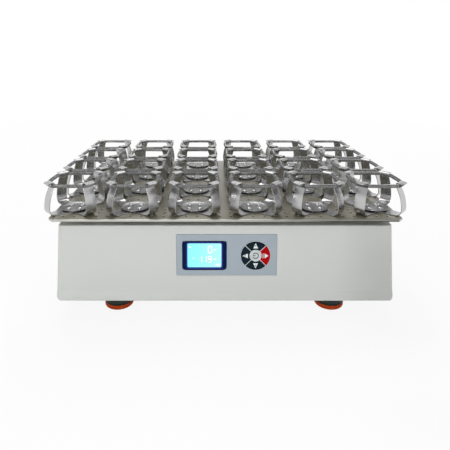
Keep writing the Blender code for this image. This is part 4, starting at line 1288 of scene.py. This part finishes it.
def inlet_openings():
    """A cutter for the socket and for the rocker's pocket, seen from the inlet's middle."""
    low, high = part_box("power_inlet")
    socket = socket_outline(0)
    mouth = socket_outline(2 * FASCIA_EDGE)
    cutter = Shape()
    cutter.loft([level(socket, -SOCKET_DEPTH), level(socket, -FASCIA_EDGE), level(mouth, FASCIA_EDGE)])
    rocker_low, rocker_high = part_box("rocker_switch")
    middle, size = front_view(rocker_low, rocker_high)
    rise = middle[1] - (low.z + high.z) / 2
    roomy = (size[0] + 2 * FASCIA_GAP, size[1] + 4 * FASCIA_GAP)
    pocket = rounded_rectangle(roomy, PANEL_CORNER / 2, (0, rise))
    cutter.loft([level(pocket, rocker_low.y - high.y - FASCIA_GAP), level(pocket, CUT_OVERRUN)])
    return cutter


def inlet():
    """The mains inlet with its lip, hollow socket and three pins."""
    low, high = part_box("power_inlet")
    (x, z), size = front_view(low, high)
    place = facing(x, high.y, z, REAR)
    sheet = high.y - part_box("housing_shell")[1].y - FASCIA_GAP
    lip = Shape()
    lip.plate([rounded_rectangle(size, 3 * PANEL_CORNER)], -sheet, 0, FASCIA_EDGE * 2)
    body = Shape()
    back = rounded_rectangle(front_view(*inlet_body_box())[1], PANEL_CORNER)
    body.plate([back], low.y - high.y, -sheet * INLET_BACK_SHARE, FASCIA_EDGE)
    cutter = inlet_openings()
    for name, shape, replaced in (("inlet_lip", lip, ("power_inlet",)), ("inlet_body", body, ())):
        add_piece(name, shape, (black_plastic,), "housing", place, replaced, cutter)
    pins = Shape()
    for x, y in PIN_PLACES:
        pin = rounded_rectangle(PIN_SIZE, PIN_SIZE[0] * SOFT_SHARE, (x, y - SOCKET_DROP))
        pins.plate([pin], -SOCKET_DEPTH - FASCIA_EDGE, PIN_LENGTH - SOCKET_DEPTH, FASCIA_EDGE)
    add_piece("inlet_pins", pins, (zinc_plate,), "housing", place)


def rocker_face(share):
    """The height of the rocker's dished face, at a share of the way from its middle to its end."""
    return ROCKER_DEPTH / 2 - ROCKER_DIP * (1 - share ** 2)


def rocker():
    """The rocker with a dipped face and the marks for on and off, which lie along the dip."""
    low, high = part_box("rocker_switch")
    half = (high.x - low.x) / 2
    end = ROCKER_TALL / 2
    shares = [1 - 2 * i / ROCKER_STEPS for i in range(ROCKER_STEPS + 1)]
    face = [(end * share, rocker_face(share)) for share in shares]
    outline = [(end, -ROCKER_DEPTH / 2), *face, (-end, -ROCKER_DEPTH / 2)]
    small = inset(outline, FASCIA_EDGE)
    shape = Shape()
    stages = ((-half, small), (FASCIA_EDGE - half, outline), (half - FASCIA_EDGE, outline), (half, small))
    shape.loft([[(across, y, z) for y, z in ring] for across, ring in stages])
    mark = ROCKER_TALL * MARK_SHARE
    slope = atan(4 * ROCKER_DIP * MARK_SHARE / end)
    outer, inner = (circle(mark * share, SCREW_SIDES) for share in MARK_RING_SHARES)
    for side, outlines in ((1, [bar(mark * MARK_BAR_SHARE, mark)]), (-1, [outer, inner[::-1]])):
        place = facing(0, side * mark, rocker_face(2 * MARK_SHARE), Matrix.Rotation(side * slope, 4, "X"))
        shape.plate(outlines, -SIGN_RAISE * 3, SIGN_RAISE, 0, 1, place)
    place = Matrix.Translation((low + high) / 2) @ Matrix.Rotation(ROCKER_TILT, 4, "X") @ REAR
    looks = (black_plastic, key_ink)
    add_piece("rocker_dipped", shape, looks, "rocker", place, ("rocker_switch",))


# Stage


def stage_piece(name, corners, look):
    """A flat sheet of the studio, which isn't part of the object."""
    shape = Shape()
    shape.add(corners, [(0, 1, 2, 3)])
    piece = linked(name, mesh_of(name, shape, (look,)))
    return piece


def floor():
    half = FLOOR_SIDE / 2
    stage_piece("floor", [(x * half, y * half, 0) for x, y in CORNERS], seat_floor)


def cards():
    """Dark flags that only reflections see, for darker bands in metal, and a net that shades one end."""
    flags = [stage_piece(name, corners, flag_cloth) for name, corners in FLAGS.items()]
    net = stage_piece("net_right", NET, net_cloth)
    net.visible_glossy = False
    for flag in flags:
        flag.visible_shadow = False
    for card in (*flags, net):
        card.visible_camera = False
        card.visible_diffuse = False


def world():
    """White where the camera sees it, greyer towards the top in reflections, and softer still as light."""
    sky = bpy.data.worlds.new("studio")
    bpy.context.scene.world = sky
    sky.use_nodes = True
    tree = sky.node_tree
    way = add_node(tree, "SeparateXYZ", {"Vector": add_node(tree, "TexCoord", {}).outputs["Generated"]})
    fade = ranged(tree, way.outputs["Z"], SKY_SHINE_RISES, SKY_SHINES)
    shiny = ranged(tree, seen_by(tree, "Glossy"), (0, 1), (SKY_LIGHT, fade))
    strength = worked_out(tree, "MAXIMUM", seen_by(tree, "Camera", "Transmission"), shiny)
    feed(tree, tree.nodes["Background"], {"Color": (1, 1, 1, 1), "Strength": strength})


def lamps():
    for name, (place, side, power) in LAMPS.items():
        data = bpy.data.lights.new(name, "AREA")
        data.shape = "SQUARE"
        data.size = side
        data.energy = power
        lamp = linked(name, data)
        lamp.location = place
        lamp.rotation_euler = (LAMP_TARGET - Vector(place)).to_track_quat("-Z", "Y").to_euler()


def camera():
    data = bpy.data.cameras.new("camera")
    data.sensor_width = SENSOR_WIDTH
    data.lens = FOCAL_LENGTH
    data.shift_x, data.shift_y = CAMERA_SHIFT
    eye = linked("camera", data)
    eye.location = CAMERA_PLACE
    eye.rotation_euler = (pi / 2 - CAMERA_PITCH, 0, 0)
    bpy.context.scene.camera = eye


bpy.context.scene.view_settings.view_transform = "Standard"
for make in (
    dress_nodes, camera, world, lamps, floor, cards, tray, clamps, housing, housing_screws, base_screws,
    fascia, bezel, screen, keypad, feet, inlet, rocker,
):
    make()
